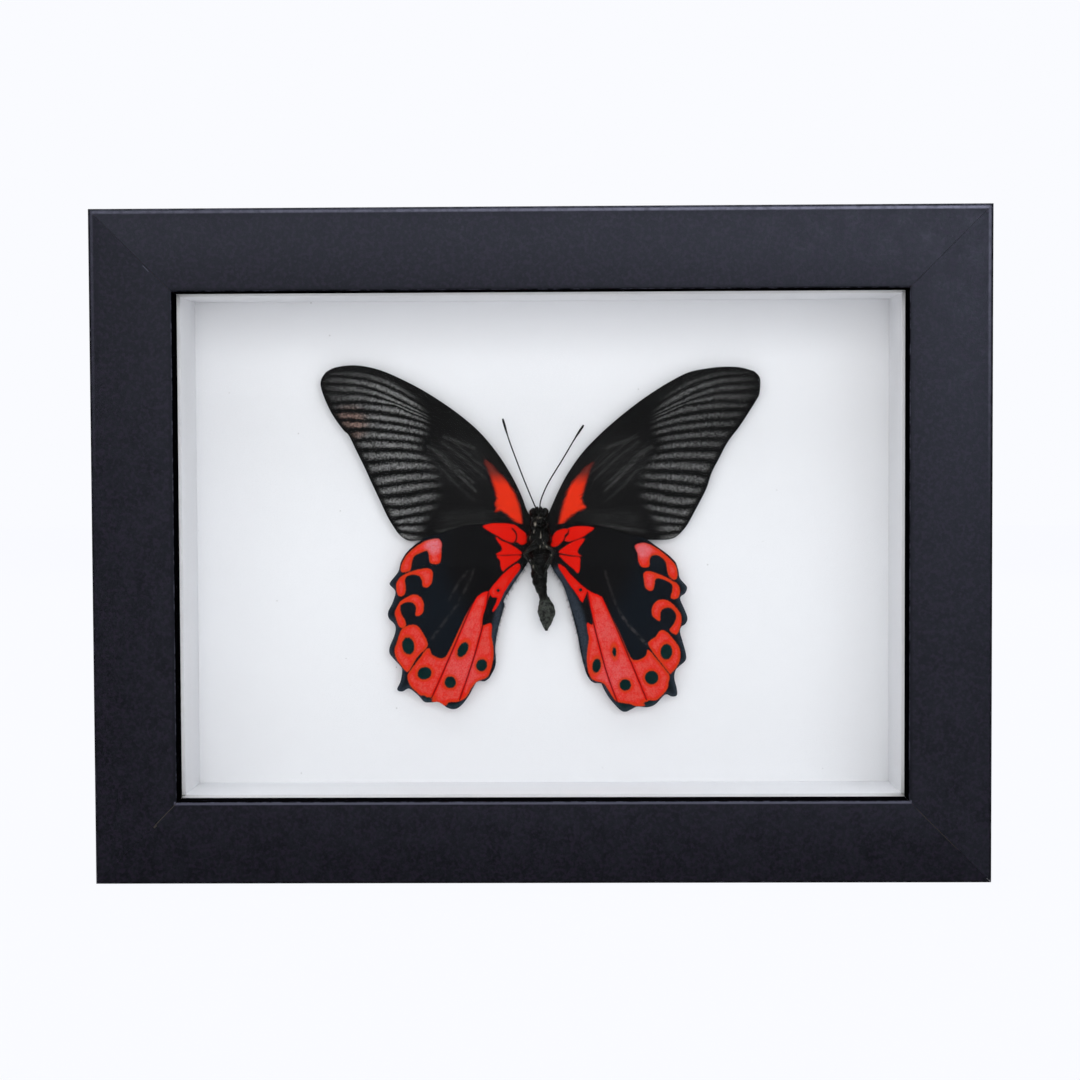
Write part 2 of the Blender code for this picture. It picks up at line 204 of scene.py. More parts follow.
def ripple(spots: np.ndarray, size_mm: float, seed: int) -> np.ndarray:
    """A smooth random relief over the plane, made of a few crossed waves.

    Args:
        spots: points in millimetres, one a row.
        size_mm: how long its waves are.
        seed: picks the waves.

    Returns:
        A value from about -1 to 1 for each point.
    """
    rng = np.random.default_rng(seed)
    total = np.zeros(len(spots))
    for _ in range(6):
        angle, phase = rng.uniform(0.0, 2.0 * math.pi, 2)
        length = size_mm * rng.uniform(0.7, 1.6)
        direction = np.array([math.cos(angle), math.sin(angle)])
        total += np.sin(spots @ direction * 2.0 * math.pi / length + phase)
    return total / 3.0


# ---------------------------------------------------------------- shader graphs


class Graph:
    """A node tree with short ways to add the nodes that these finishes need."""

    def __init__(self, tree: bpy.types.NodeTree) -> None:
        """Work on that tree."""
        self.tree = tree

    def feed(self, socket: bpy.types.NodeSocket, value: Number) -> None:
        """Link a socket to a value's socket, or set it to a plain value."""
        if isinstance(value, bpy.types.NodeSocket):
            self.tree.links.new(value, socket)
        else:
            socket.default_value = value

    def add(self, kind: str, **settings: object) -> bpy.types.Node:
        """Add a node of that kind with some of its properties set."""
        node = self.tree.nodes.new(kind)
        for name, value in settings.items():
            setattr(node, name, value)
        return node

    def math(self, operation: str, first: Number, second: Number = 0.0, clamp: bool = False) -> Number:
        """One sum of two values."""
        node = self.add("ShaderNodeMath", operation=operation, use_clamp=clamp)
        self.feed(node.inputs[0], first)
        self.feed(node.inputs[1], second)
        return node.outputs[0]

    def times(self, first: Number, *others: Number) -> Number:
        """The product of two or more values."""
        for other in others:
            first = self.math("MULTIPLY", first, other)
        return first

    def mix(self, share: Number, first: Number, second: Number, blend: str = "MIX") -> Number:
        """One colour over another, by a share."""
        node = self.add("ShaderNodeMix", data_type="RGBA", blend_type=blend, clamp_factor=True)
        self.feed(node.inputs[0], share)
        self.feed(node.inputs[6], first)
        self.feed(node.inputs[7], second)
        return node.outputs[2]

    def step(self, value: Number, low: Number, high: Number, first: float = 0.0, last: float = 1.0) -> Number:
        """An eased threshold from first, at low, to last, at high."""
        node = self.add("ShaderNodeMapRange", interpolation_type="SMOOTHSTEP")
        for socket, number in zip(node.inputs, (value, low, high, first, last)):
            self.feed(socket, number)
        return node.outputs[0]

    def band(self, value: Number, start: float, full: float, until: float, end: float) -> Number:
        """1 from full to until, eased down to 0 at start and at end."""
        return self.times(self.step(value, start, full), self.step(value, end, until))

    def place(self) -> Number:
        """The place on the object, in its own coordinates."""
        return self.add("ShaderNodeTexCoord").outputs["Object"]

    def stretched(self, vector: Number, scale: Sequence[float], turn: Sequence[float] = (0, 0, 0)) -> Number:
        """A vector turned and scaled along its axes."""
        node = self.add("ShaderNodeMapping")
        self.feed(node.inputs["Vector"], vector)
        node.inputs["Rotation"].default_value = turn
        node.inputs["Scale"].default_value = scale
        return node.outputs[0]

    def attribute(self, name: str) -> Number:
        """A value that the mesh holds at its vertices."""
        return self.add("ShaderNodeAttribute", attribute_name=name).outputs["Fac"]

    def noise(self, vector: Number, scale: float, detail: float = 2.0, rough: float = 0.5) -> Number:
        """Soft noise, about 0.5 on average."""
        node = self.add("ShaderNodeTexNoise")
        self.feed(node.inputs["Vector"], vector)
        self.feed(node.inputs["Scale"], scale)
        node.inputs["Detail"].default_value = detail
        node.inputs["Roughness"].default_value = rough
        return node.outputs["Fac"]

    def bump(self, height: Number, strength: float, distance: float) -> Number:
        """A normal tilted by a height."""
        node = self.add("ShaderNodeBump")
        node.inputs["Strength"].default_value = strength
        node.inputs["Distance"].default_value = distance
        self.feed(node.inputs["Height"], height)
        return node.outputs[0]

    def use(self, effect: "Effect", **values: Number) -> bpy.types.Node:
        """Place a shared effect, with its inputs by name."""
        node = self.add("ShaderNodeGroup", node_tree=effect.tree())
        for name, value in values.items():
            self.feed(node.inputs[name.replace("_", " ").capitalize()], value)
        return node


class Effect(Enum):
    """The effects that several finishes share, each a shader node group built once."""

    GRAIN = "fine_grain"
    DUST = "settled_dust"
    SCALES = "wing_scale_rows"
    SCRATCH = "short_scratch"

    def tree(self) -> bpy.types.NodeTree:
        """The effect's node group, made at its first use."""
        made = bpy.data.node_groups.get(self.value)
        if made:
            return made
        tree = bpy.data.node_groups.new(self.value, "ShaderNodeTree")
        builders = {
            Effect.GRAIN: build_grain,
            Effect.DUST: build_dust,
            Effect.SCALES: build_scale_rows,
            Effect.SCRATCH: build_scratch,
        }
        builders[self](tree)
        return tree


def group_sockets(tree: bpy.types.NodeTree, inputs: dict[str, str], outputs: dict[str, str]) -> tuple:
    """Give a group its sockets.

    Args:
        tree: the group.
        inputs: socket kinds by name, such as Float or Vector.
        outputs: the same for what it puts out.

    Returns:
        The group's input node and output node.
    """
    for name, kind in inputs.items():
        tree.interface.new_socket(name, in_out="INPUT", socket_type="NodeSocket" + kind)
    for name, kind in outputs.items():
        tree.interface.new_socket(name, in_out="OUTPUT", socket_type="NodeSocket" + kind)
    return tree.nodes.new("NodeGroupInput"), tree.nodes.new("NodeGroupOutput")


def build_grain(tree: bpy.types.NodeTree) -> None:
    """Fine speckle over slow mottling. Value is 0.5 on average, and Size is in millimetres."""
    given, out = group_sockets(tree, {"Vector": "Vector", "Size": "Float", "Slow": "Float"}, {"Value": "Float"})
    graph = Graph(tree)
    scale = graph.math("DIVIDE", 1000.0, given.outputs["Size"])
    fine = graph.noise(given.outputs["Vector"], scale, 3.0, 0.7)
    slow = graph.noise(given.outputs["Vector"], graph.math("DIVIDE", scale, 9.0), 3.0, 0.6)
    slow_part = graph.times(graph.math("SUBTRACT", slow, 0.5), given.outputs["Slow"])
    graph.feed(out.inputs["Value"], graph.math("ADD", fine, slow_part))


def build_dust(tree: bpy.types.NodeTree) -> None:
    """Sparse pale specks. Mask is 1 on a speck, and Amount raises how many there are."""
    given, out = group_sockets(tree, {"Vector": "Vector", "Amount": "Float"}, {"Mask": "Float"})
    graph = Graph(tree)
    cells = graph.add("ShaderNodeTexVoronoi")
    graph.feed(cells.inputs["Vector"], given.outputs["Vector"])
    cells.inputs["Scale"].default_value = 900.0
    picked = graph.add("ShaderNodeSeparateColor")
    graph.feed(picked.inputs[0], cells.outputs["Color"])
    kept = graph.math("LESS_THAN", picked.outputs[0], given.outputs["Amount"])
    near = graph.step(cells.outputs["Distance"], 0.22, 0.10)
    graph.feed(out.inputs["Mask"], graph.times(kept, near))


def build_scale_rows(tree: bpy.types.NodeTree) -> None:
    """Rows of wing scales that follow the wing's rays. Value is 0.5 on average."""
    sockets = {"Rays": "Vector", "Vector": "Vector"}
    given, out = group_sockets(tree, sockets, {"Value": "Float", "Streak": "Float"})
    graph = Graph(tree)
    rays = given.outputs["Rays"]
    streak = graph.noise(graph.stretched(rays, (18.0, 230.0, 1.0)), 1.0, 3.0, 0.65)
    rows = graph.noise(graph.stretched(rays, (330.0, 190.0, 1.0)), 1.0, 1.0, 0.5)
    grain = graph.noise(given.outputs["Vector"], 2700.0, 2.0, 0.6)
    graph.feed(out.inputs["Value"], graph.math("ADD", graph.times(rows, 0.4), graph.times(grain, 0.6)))
    graph.feed(out.inputs["Streak"], streak)


def build_scratch(tree: bpy.types.NodeTree) -> None:
    """One short straight mark on a face that looks to the front. Mask is 1 on it."""
    sockets = {"Vector": "Vector", "Middle": "Vector", "Turn": "Float", "Length": "Float", "Width": "Float"}
    given, out = group_sockets(tree, sockets, {"Mask": "Float"})
    graph = Graph(tree)
    moved = graph.add("ShaderNodeVectorMath", operation="SUBTRACT")
    graph.feed(moved.inputs[0], given.outputs["Vector"])
    graph.feed(moved.inputs[1], given.outputs["Middle"])
    turned = graph.add("ShaderNodeVectorRotate", rotation_type="Y_AXIS")
    graph.feed(turned.inputs["Vector"], moved.outputs[0])
    graph.feed(turned.inputs["Angle"], given.outputs["Turn"])
    parts = graph.add("ShaderNodeSeparateXYZ")
    graph.feed(parts.inputs[0], turned.outputs[0])
    along = graph.math("DIVIDE", graph.math("ABSOLUTE", parts.outputs["X"]), given.outputs["Length"])
    aside = graph.math("DIVIDE", graph.math("ABSOLUTE", parts.outputs["Z"]), given.outputs["Width"])
    on_run = graph.step(along, 0.5, 0.35)
    on_line = graph.step(aside, 0.5, 0.2)
    graph.feed(out.inputs["Mask"], graph.times(on_run, on_line))


# ---------------------------------------------------------------- finishes


@dataclass(frozen=True)
class Finish:
    """A finish: its name, and the plain values of its shader."""

    name: str
    roughness: float = 0.5
    specular: float = 0.5
    metallic: float = 0.0

    def build(self) -> bpy.types.Material:
        """Make the material, or give back the one made before.

        Returns:
            The material, with its nodes in place.
        """
        made = bpy.data.materials.get(self.name)
        if made:
            return made
        material = bpy.data.materials.new(self.name)
        material.use_nodes = True
        shader = material.node_tree.nodes["Principled BSDF"]
        shader.inputs["Roughness"].default_value = self.roughness
        shader.inputs["Specular IOR Level"].default_value = self.specular
        shader.inputs["Metallic"].default_value = self.metallic
        self.paint(Graph(material.node_tree), shader)
        return material

    def paint(self, graph: Graph, shader: bpy.types.Node) -> None:
        """Add what changes over the surface."""
        raise NotImplementedError


@dataclass(frozen=True)
class Foil(Finish):
    """Satin black foil wrapped round the moulding, a little worn on its arrises, with painted highlight and
    shade lines along its front edges.
    """

    base: tuple = linear(14, 14, 18)
    pale: tuple = linear(29, 29, 36)
    # worn: the colour of real wear on the arrises, and also of the painted highlight along the lower rail's
    # inner edge
    worn: tuple = linear(104, 104, 122)
    # the colour of the painted highlight along the outer edge
    painted_rim_highlight: tuple = linear(142, 142, 164)
    # deep: the colour of painted shade beside the highlight, on the outermost edge and along the inner edge of
    # the top and sides
    deep: tuple = linear(6, 6, 8)
    violet: tuple = linear(40, 32, 47)
    sheen: tuple = (0.72, 0.78, 1.0, 1.0)
    half_width: float = 0.0
    half_height: float = 0.0
    middle: float = 0.0
    face: float = 0.0
    # where each painted highlight or shade line starts, is full, is full until and ends: from the outer edge,
    # or from the lip's edge
    rim_highlight_mm: tuple = (0.45, 0.7, 1.0, 1.4)
    groove_shade_mm: tuple = (1.1, 1.5, 1.8, 2.8)
    lip_highlight_mm: tuple = (-0.8, -0.55, -0.35, -0.15)
    scratches: tuple = ()

    def edge_lines(self, graph: Graph, place: Number, colour: Number) -> Number:
        """Paint a highlight along the outer edge, full on the upper part, strongest along the top and stronger
        to the right, and along the lower rail's inner edge, and paint shade beside the upper highlight, on the
        outermost edge and along the inner edge of the top rail and the stiles.

        Args:
            graph: the material's graph.
            place: the point's place.
            colour: the foil's colour so far.

        Returns:
            The colour with its painted highlight and shade lines.
        """
        parts = graph.add("ShaderNodeSeparateXYZ")
        graph.feed(parts.inputs[0], place)
        aside = graph.math("SUBTRACT", self.half_width, graph.math("ABSOLUTE", parts.outputs["X"]))
        up = graph.math("SUBTRACT", parts.outputs["Z"], self.middle)
        above = graph.math("SUBTRACT", self.half_height, graph.math("ABSOLUTE", up))
        edge = graph.math("MINIMUM", aside, above)
        high = graph.step(up, 0.0, self.half_height)
        right = graph.step(parts.outputs["X"], -self.half_width, self.half_width, 0.4, 1.0)
        patchy = graph.step(graph.noise(place, 500.0, 3.0, 0.7), 0.3, 0.6, 0.5, 1.0)
        # Painted highlight: a band along the outer edge, full on the upper part, stronger to the right and
        # along the top, broken up by noise
        painted_rim_highlight = graph.band(edge, *(reach * MM for reach in self.rim_highlight_mm))
        along_top = graph.step(graph.math("SUBTRACT", aside, above), -1.0 * MM, 0.5 * MM, 0.4, 1.0)
        painted_rim_highlight = graph.times(painted_rim_highlight, high, right, along_top, patchy)
        # Painted shade in a band beside the highlight, on the upper part
        painted_groove_shade = graph.times(graph.band(edge, *(reach * MM for reach in self.groove_shade_mm)), high, 0.35)
        # Painted shade on the outermost edge, all round
        painted_edge_shade = graph.step(edge, 0.6 * MM, 0.4 * MM, 0.0, 0.95)
        # Painted highlight along the lower rail's inner edge
        opening = self.half_height - self.face
        low = graph.step(up, -opening + 0.3 * MM, -opening - 0.1 * MM)
        lip = graph.times(graph.band(edge, *(self.face + reach * MM for reach in self.lip_highlight_mm)), low, 0.75)
        # Painted shade along the inner edge of the top rail and the stiles
        turned = graph.step(edge, self.face - 1.1 * MM, self.face - 0.5 * MM, 0.0, 0.6)
        turned = graph.times(turned, graph.math("SUBTRACT", 1.0, low))
        lines = ((painted_rim_highlight, self.painted_rim_highlight), (painted_groove_shade, self.deep), (painted_edge_shade, self.deep), (lip, self.worn))
        for share, paint in (*lines, (turned, self.deep)):
            colour = graph.mix(share, colour, paint)
        return colour

    def paint(self, graph: Graph, shader: bpy.types.Node) -> None:
        """Mottle the foil, wear its arrises, paint its highlight and shade lines and lay its scratches."""
        shader.inputs["Specular Tint"].default_value = self.sheen
        place = graph.place()
        grain = graph.use(Effect.GRAIN, vector=place, size=0.42, slow=0.7).outputs[0]
        colour = graph.mix(graph.step(grain, 0.25, 0.8), self.base, self.pale)
        mottle = graph.step(graph.noise(place, 1100.0, 2.0, 0.6), 0.42, 0.68, 0.0, 0.85)
        colour = graph.mix(mottle, colour, self.violet)
        if self.face:
            colour = self.edge_lines(graph, place, colour)
        arris = graph.attribute("arris")
        patchy = graph.step(graph.noise(place, 420.0, 3.0, 0.7), 0.42, 0.66)
        colour = graph.mix(graph.times(arris, patchy, 0.5), colour, self.worn)
        for middle, turn, length, width, strength, paint in self.scratches:
            mark = graph.use(Effect.SCRATCH, vector=place, middle=middle, turn=turn, length=length, width=width)
            colour = graph.mix(graph.times(mark.outputs[0], strength), colour, paint)
        graph.feed(shader.inputs["Base Color"], colour)
        graph.feed(shader.inputs["Roughness"], graph.step(grain, 0.2, 0.8, 0.38, 0.52))
        graph.feed(shader.inputs["Normal"], graph.bump(grain, 0.25, 0.00006))


@dataclass(frozen=True)
class Fibreboard(Finish):
    """Pressed wood fibre: the core of the moulding, and the backing board."""

    base: tuple = linear(139, 104, 70)
    dark: tuple = linear(92, 64, 40)
    fleck: tuple = linear(178, 146, 108)

    def paint(self, graph: Graph, shader: bpy.types.Node) -> None:
        """Lay fibres of three browns."""
        place = graph.place()
        grain = graph.use(Effect.GRAIN, vector=place, size=0.7, slow=0.5).outputs[0]
        fibres = graph.noise(graph.stretched(place, (260.0, 900.0, 1500.0)), 1.0, 3.0, 0.7)
        colour = graph.mix(graph.step(grain, 0.3, 0.75), self.dark, self.base)
        colour = graph.mix(graph.step(fibres, 0.58, 0.75), colour, self.fleck)
        graph.feed(shader.inputs["Base Color"], colour)
        graph.feed(shader.inputs["Normal"], graph.bump(graph.math("ADD", grain, fibres), 0.4, 0.0001))


@dataclass(frozen=True)
class Card(Finish):
    """White card with a faint tooth and a few specks of dust."""

    base: tuple = linear(231, 231, 233)
    shade: tuple = linear(226, 226, 228)
    speck: tuple = linear(150, 148, 142)
    dust: float = 0.004

    def paint(self, graph: Graph, shader: bpy.types.Node) -> None:
        """Give the card its tooth and its dust."""
        place = graph.place()
        grain = graph.use(Effect.GRAIN, vector=place, size=0.35, slow=0.2).outputs[0]
        colour = graph.mix(graph.step(grain, 0.25, 0.85), self.shade, self.base)
        dust = graph.use(Effect.DUST, vector=place, amount=self.dust).outputs[0]
        colour = graph.mix(graph.times(dust, 0.5), colour, self.speck)
        graph.feed(shader.inputs["Base Color"], colour)
        graph.feed(shader.inputs["Normal"], graph.bump(grain, 0.2, 0.00004))


@dataclass(frozen=True)
class Glass(Finish):
    """Clear picture glass."""

    ior: float = 1.08

    def paint(self, graph: Graph, shader: bpy.types.Node) -> None:
        """Make the pane see-through."""
        shader.inputs["Transmission Weight"].default_value = 1.0
        shader.inputs["IOR"].default_value = self.ior
        shader.inputs["Base Color"].default_value = linear(254, 255, 255)


@dataclass(frozen=True)
class Steel(Finish):
    """Zinc plate: bright metal with dull patches and fine rolling lines."""

    bright: tuple = linear(208, 208, 202)
    dull: tuple = linear(158, 158, 150)

    def paint(self, graph: Graph, shader: bpy.types.Node) -> None:
        """Lay dull patches and rolling lines."""
        place = graph.place()
        grain = graph.use(Effect.GRAIN, vector=place, size=0.8, slow=1.2).outputs[0]
        lines = graph.noise(graph.stretched(place, (200.0, 900.0, 5200.0)), 1.0, 2.0, 0.6)
        graph.feed(shader.inputs["Base Color"], graph.mix(graph.step(grain, 0.3, 0.8), self.dull, self.bright))
        graph.feed(shader.inputs["Roughness"], graph.step(grain, 0.2, 0.85, 0.42, 0.22))
        graph.feed(shader.inputs["Normal"], graph.bump(lines, 0.25, 0.00003))


@dataclass(frozen=True)
class Glue(Finish):
    """A set dab of clear glue, yellowed a little."""

    clear: tuple = linear(232, 222, 190)
    cloudy: tuple = linear(206, 186, 140)

    def paint(self, graph: Graph, shader: bpy.types.Node) -> None:
        """Cloud the glue."""
        shader.inputs["Transmission Weight"].default_value = 0.6
        shader.inputs["IOR"].default_value = 1.47
        cloud = graph.noise(graph.place(), 900.0, 3.0, 0.6)
        graph.feed(shader.inputs["Base Color"], graph.mix(graph.step(cloud, 0.3, 0.7), self.clear, self.cloudy))


@dataclass(frozen=True)
class Chitin(Finish):
    """Dark brown-black skin of the body and limbs, dusted with grey scales."""

    dark: tuple = linear(6, 6, 6)
    brown: tuple = linear(20, 15, 12)
    dusted: tuple = linear(82, 86, 80)

    def paint(self, graph: Graph, shader: bpy.types.Node) -> None:
        """Mottle the skin and dust it where the mesh says so."""
        place = graph.place()
        grain = graph.use(Effect.GRAIN, vector=place, size=0.3, slow=1.2).outputs[0]
        colour = graph.mix(graph.step(grain, 0.45, 0.95), self.dark, self.brown)
        patch = graph.step(graph.noise(place, 1500.0, 3.0, 0.7), 0.35, 0.62)
        share = graph.times(graph.attribute("dusting"), patch)
        graph.feed(shader.inputs["Base Color"], graph.mix(share, colour, self.dusted))
        graph.feed(shader.inputs["Roughness"], graph.step(grain, 0.3, 0.9, 0.26, 0.5))
        graph.feed(shader.inputs["Normal"], graph.bump(grain, 0.5, 0.0001))


@dataclass(frozen=True)
class ForewingScales(Finish):
    """Velvet black with grey rays between dark lines, and a red wedge at the root."""

    black: tuple = linear(19, 19, 19)
    root: tuple = linear(26, 26, 26)
    grey: tuple = linear(126, 125, 124)
    brown: tuple = linear(182, 150, 138)
    red: tuple = linear(219, 48, 22)
    deep: tuple = linear(100, 40, 34)

    def paint(self, graph: Graph, shader: bpy.types.Node) -> None:
        """Lay the rays, the dark lines between them and the red wedge."""
        place = graph.place()
        rays = graph.add("ShaderNodeUVMap", uv_map="rays").outputs[0]
        scales = graph.use(Effect.SCALES, rays=rays, vector=place)
        fine, streak = scales.outputs["Value"], scales.outputs["Streak"]
        speck = graph.step(fine, 0.34, 0.66, 0.35, 1.55)
        lines = graph.math("PINGPONG", graph.attribute("phase"), 0.5)
        ragged = graph.math("ADD", lines, graph.step(fine, 0.35, 0.65, -0.10, 0.10))
        open_share = graph.step(ragged, graph.attribute("line"), graph.attribute("line_soft"))
        faint = graph.times(graph.attribute("cell"), graph.step(streak, 0.46, 0.66))
        coarse = graph.step(graph.noise(place, 1300.0, 2.0, 0.6), 0.36, 0.64, 0.66, 1.34)
        worn = graph.times(graph.attribute("pale"), graph.step(coarse, 0.66, 1.2, 0.3, 1.2))
        tone = graph.times(graph.attribute("tone"), open_share, coarse)
        bright = graph.math("ADD", graph.math("ADD", tone, worn), faint)
        streaked = graph.times(bright, graph.step(streak, 0.25, 0.75, 0.80, 1.20))
        ray_colour = graph.mix(graph.attribute("brown"), self.grey, self.brown)
        dull = graph.mix(graph.times(graph.attribute("root"), fine), self.black, self.root)
        colour = graph.mix(graph.times(streaked, speck), dull, ray_colour)
        rough_edge = graph.times(graph.math("SUBTRACT", streak, 0.5), 3.2)
        wedge = graph.step(graph.math("ADD", graph.attribute("red"), rough_edge), -0.25, 0.25)
        red = graph.mix(graph.step(streak, 0.24, 0.50), self.deep, self.red)
        red = graph.mix(graph.attribute("deep"), red, self.deep)
        graph.feed(shader.inputs["Base Color"], graph.mix(wedge, colour, red))
        graph.feed(shader.inputs["Normal"], graph.bump(graph.math("ADD", fine, streak), 0.35, 0.00006))


@dataclass(frozen=True)
class HindwingScales(Finish):
    """Velvet black with red patches that turn pink in their middles and orange at their edges."""

    black: tuple = linear(19, 19, 20)
    outer: tuple = linear(20, 24, 29)
    spot: tuple = linear(14, 36, 36)
    faint: tuple = linear(66, 62, 62)
    band: tuple = linear(50, 57, 66)
    red: tuple = linear(206, 24, 13)
    pink: tuple = linear(206, 72, 64)
    pale: tuple = linear(207, 113, 121)
    orange: tuple = linear(192, 62, 28)
    vein: tuple = linear(104, 18, 18)

    def paint(self, graph: Graph, shader: bpy.types.Node) -> None:
        """Lay the red patches, what dusts them, their veins and the grey band."""
        place = graph.place()
        rays = graph.add("ShaderNodeUVMap", uv_map="rays").outputs[0]
        scales = graph.use(Effect.SCALES, rays=rays, vector=place)
        fine, streak = scales.outputs["Value"], scales.outputs["Streak"]
        red_reach = graph.attribute("red")
        rough_edge = graph.times(graph.math("SUBTRACT", fine, 0.5), 0.5)
        mask = graph.step(graph.math("ADD", red_reach, rough_edge), -0.16, 0.16)
        wander = graph.noise(place, 700.0, 3.0, 0.65)
        speck = graph.step(fine, 0.34, 0.66, 0.35, 1.5)
        vein = graph.attribute("vein")
        patches = graph.step(wander, 0.30, 0.68, 0.35, 1.3)
        dusty = graph.times(graph.attribute("pink"), patches, graph.step(vein, 0.10, 0.75))
        colour = graph.mix(graph.math("MULTIPLY", dusty, speck, clamp=True), self.red, self.pink)
        colour = graph.mix(graph.times(graph.attribute("pale"), speck), colour, self.pale)
        rim = graph.times(graph.step(red_reach, 0.75, 0.1), graph.attribute("outer"), 0.8)
        colour = graph.mix(rim, colour, self.orange)
        colour = graph.mix(graph.step(vein, 0.26, 0.10, 0.0, 0.9), colour, self.vein)
        shade = graph.step(streak, 0.2, 0.8, 0.86, 1.08)
        colour = graph.mix(1.0, colour, self.grey_of(graph, shade), "MULTIPLY")
        band = graph.times(graph.attribute("band"), graph.step(fine, 0.35, 0.65, 0.5, 1.2))
        dark = graph.mix(graph.attribute("outer"), self.black, self.outer)
        dark = graph.mix(graph.attribute("spot"), dark, self.spot)
        faint = graph.times(graph.attribute("faint"), graph.step(wander, 0.35, 0.62))
        dark = graph.mix(faint, dark, self.faint)
        dark = graph.mix(band, dark, self.band)
        graph.feed(shader.inputs["Base Color"], graph.mix(mask, dark, colour))
        graph.feed(shader.inputs["Normal"], graph.bump(graph.math("ADD", fine, streak), 0.35, 0.00006))

    @staticmethod
    def grey_of(graph: Graph, value: Number) -> Number:
        """A grey colour of that value."""
        node = graph.add("ShaderNodeCombineColor")
        for socket in node.inputs:
            graph.feed(socket, value)
        return node.outputs[0]


@dataclass(frozen=True)
class Fuzz(Finish):
    """Fine dark hair, a little paler towards some tips."""

    dark: tuple = linear(8, 7, 7)
    tip: tuple = linear(26, 22, 19)

    def paint(self, graph: Graph, shader: bpy.types.Node) -> None:
        """Change the hair from tuft to tuft."""
        tuft = graph.noise(graph.place(), 1300.0, 2.0, 0.6)
        graph.feed(shader.inputs["Base Color"], graph.mix(graph.step(tuft, 0.5, 0.8), self.dark, self.tip))


CORE = Fibreboard("fibre_core", 0.75, 0.2)
# A darker copy of the foil, without reflection, for the lip's edge that looks into the opening: painted shade
SHADED_LIP_WALL = Foil(
    "shaded_black_lip_foil", 0.8, 0.0, base=linear(8, 8, 10), pale=linear(12, 12, 16), violet=linear(10, 9, 13)
)

# ---------------------------------------------------------------- mesh tools


def finish_mesh(
    name: str, bm: bmesh.types.BMesh, finish: Finish, smooth_angle: float = 35.0
) -> bpy.types.Object:
    """Turn a bmesh into a piece at the origin, with its finish.

    Args:
        name: the piece's name.
        bm: its mesh, in place. It is freed.
        finish: the finish of its first slot.
        smooth_angle: edges sharper than this many degrees stay sharp.

    Returns:
        The new object.
    """
    mesh = bpy.data.meshes.new(name)
    bm.to_mesh(mesh)
    bm.free()
    mesh.shade_smooth()
    mesh.set_sharp_from_angle(angle=math.radians(smooth_angle))
    mesh.materials.append(finish.build())
    piece = bpy.data.objects.new(name, mesh)
    bpy.context.scene.collection.objects.link(piece)
    return piece


def hand_over(piece: bpy.types.Object, slot: Slot, *nodes: str) -> bpy.types.Object:
    """Let a piece ride on the frame's one body and stand for its CAD nodes.

    Args:
        piece: the finished piece.
        slot: the record's slot of its finish; not used.
        nodes: the CAD nodes that it replaces.

    Returns:
        The same piece.
    """
    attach(piece, "root")
    if nodes:
        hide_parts(*nodes)
    LOG.info("%s: %d vertices", piece.name, len(piece.data.vertices))
    return piece


def set_values(mesh: bpy.types.Mesh, name: str, values: np.ndarray) -> None:
    """Store one value for each vertex of a mesh under a name."""
    layer = mesh.attributes.new(name, "FLOAT", "POINT")
    layer.data.foreach_set("value", np.asarray(values, np.float32))


def add_block(bm: bmesh.types.BMesh, low: Vector, high: Vector, edge: float, segments: int = 3) -> None:
    """Add a box between two corners, with rounded edges.

    Args:
        bm: the mesh that takes it.
        low, high: its corners.
        edge: the radius of its edges.
        segments: pieces in each rounding.
    """
    cube = bmesh.ops.create_cube(bm, size=1.0)["verts"]
    bmesh.ops.scale(bm, vec=high - low, verts=cube)
    bmesh.ops.translate(bm, vec=(low + high) / 2, verts=cube)
    edges = list({e for v in cube for e in v.link_edges})
    bmesh.ops.bevel(
        bm, geom=edges, offset=edge, offset_type="OFFSET", affect="EDGES", segments=segments,
        profile=0.5, material=-1,
    )


def sweep(bm: bmesh.types.BMesh, path: Sequence[Vector], radii: Sequence, sides: int = 10) -> list:
    """Extrude a ring along a path, with both ends closed.

    Args:
        bm: the mesh that takes it.
        path: the middle of each ring.
        radii: a radius for each ring, or a pair, across and front to back.
        sides: vertices in a ring.

    Returns:
        The vertices of the tube.
    """
    points = [Vector(p) for p in path]
    last = len(points) - 1
    heading = Vector((0.0, 0.0, 1.0))
    frame_turn = Quaternion()
    places = []
    for i, (point, radius) in enumerate(zip(points, radii)):
        tangent = (points[min(i + 1, last)] - points[max(i - 1, 0)]).normalized()
        frame_turn = heading.rotation_difference(tangent) @ frame_turn
        heading = tangent
        wide, deep = radius if isinstance(radius, tuple) else (radius, radius)
        size = Matrix.Diagonal((wide, deep, 1.0, 1.0))
        places.append(Matrix.Translation(point) @ frame_turn.to_matrix().to_4x4() @ size)
    ring = bmesh.ops.create_circle(bm, cap_ends=False, radius=1.0, segments=sides, matrix=places[0])["verts"]
    edges = list({e for v in ring for e in v.link_edges})
    made = list(ring)
    caps = [list(edges)]
    for before, after in zip(places, places[1:]):
        new = bmesh.ops.extrude_edge_only(bm, edges=edges)["geom"]
        verts = [g for g in new if isinstance(g, bmesh.types.BMVert)]
        moved = set(verts)
        bmesh.ops.transform(bm, matrix=after @ before.inverted(), verts=verts)
        edges = [g for g in new if isinstance(g, bmesh.types.BMEdge) and set(g.verts) <= moved]
        made += verts
    caps.append(edges)
    for rim in caps:
        bmesh.ops.edgeloop_fill(bm, edges=rim)
    return made


def close_up(bm: bmesh.types.BMesh) -> None:
    """Point every face of a closed mesh outwards."""
    bmesh.ops.recalc_face_normals(bm, faces=bm.faces)


def middle_of(node: str) -> Vector:
    """The middle of a CAD node's box."""
    low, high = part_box(node)
    return (low + high) / 2


CENTRE_Z = (CAD_BOUNDS[0][2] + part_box("rail_top")[1].z) / 2


def in_window(across_mm: float, y: float, up_mm: float) -> Vector:
    """A point from millimetres across and up from the window's middle, at a depth."""
    return Vector((across_mm * MM, y, CENTRE_Z + up_mm * MM))


# ---------------------------------------------------------------- the frame and what closes it


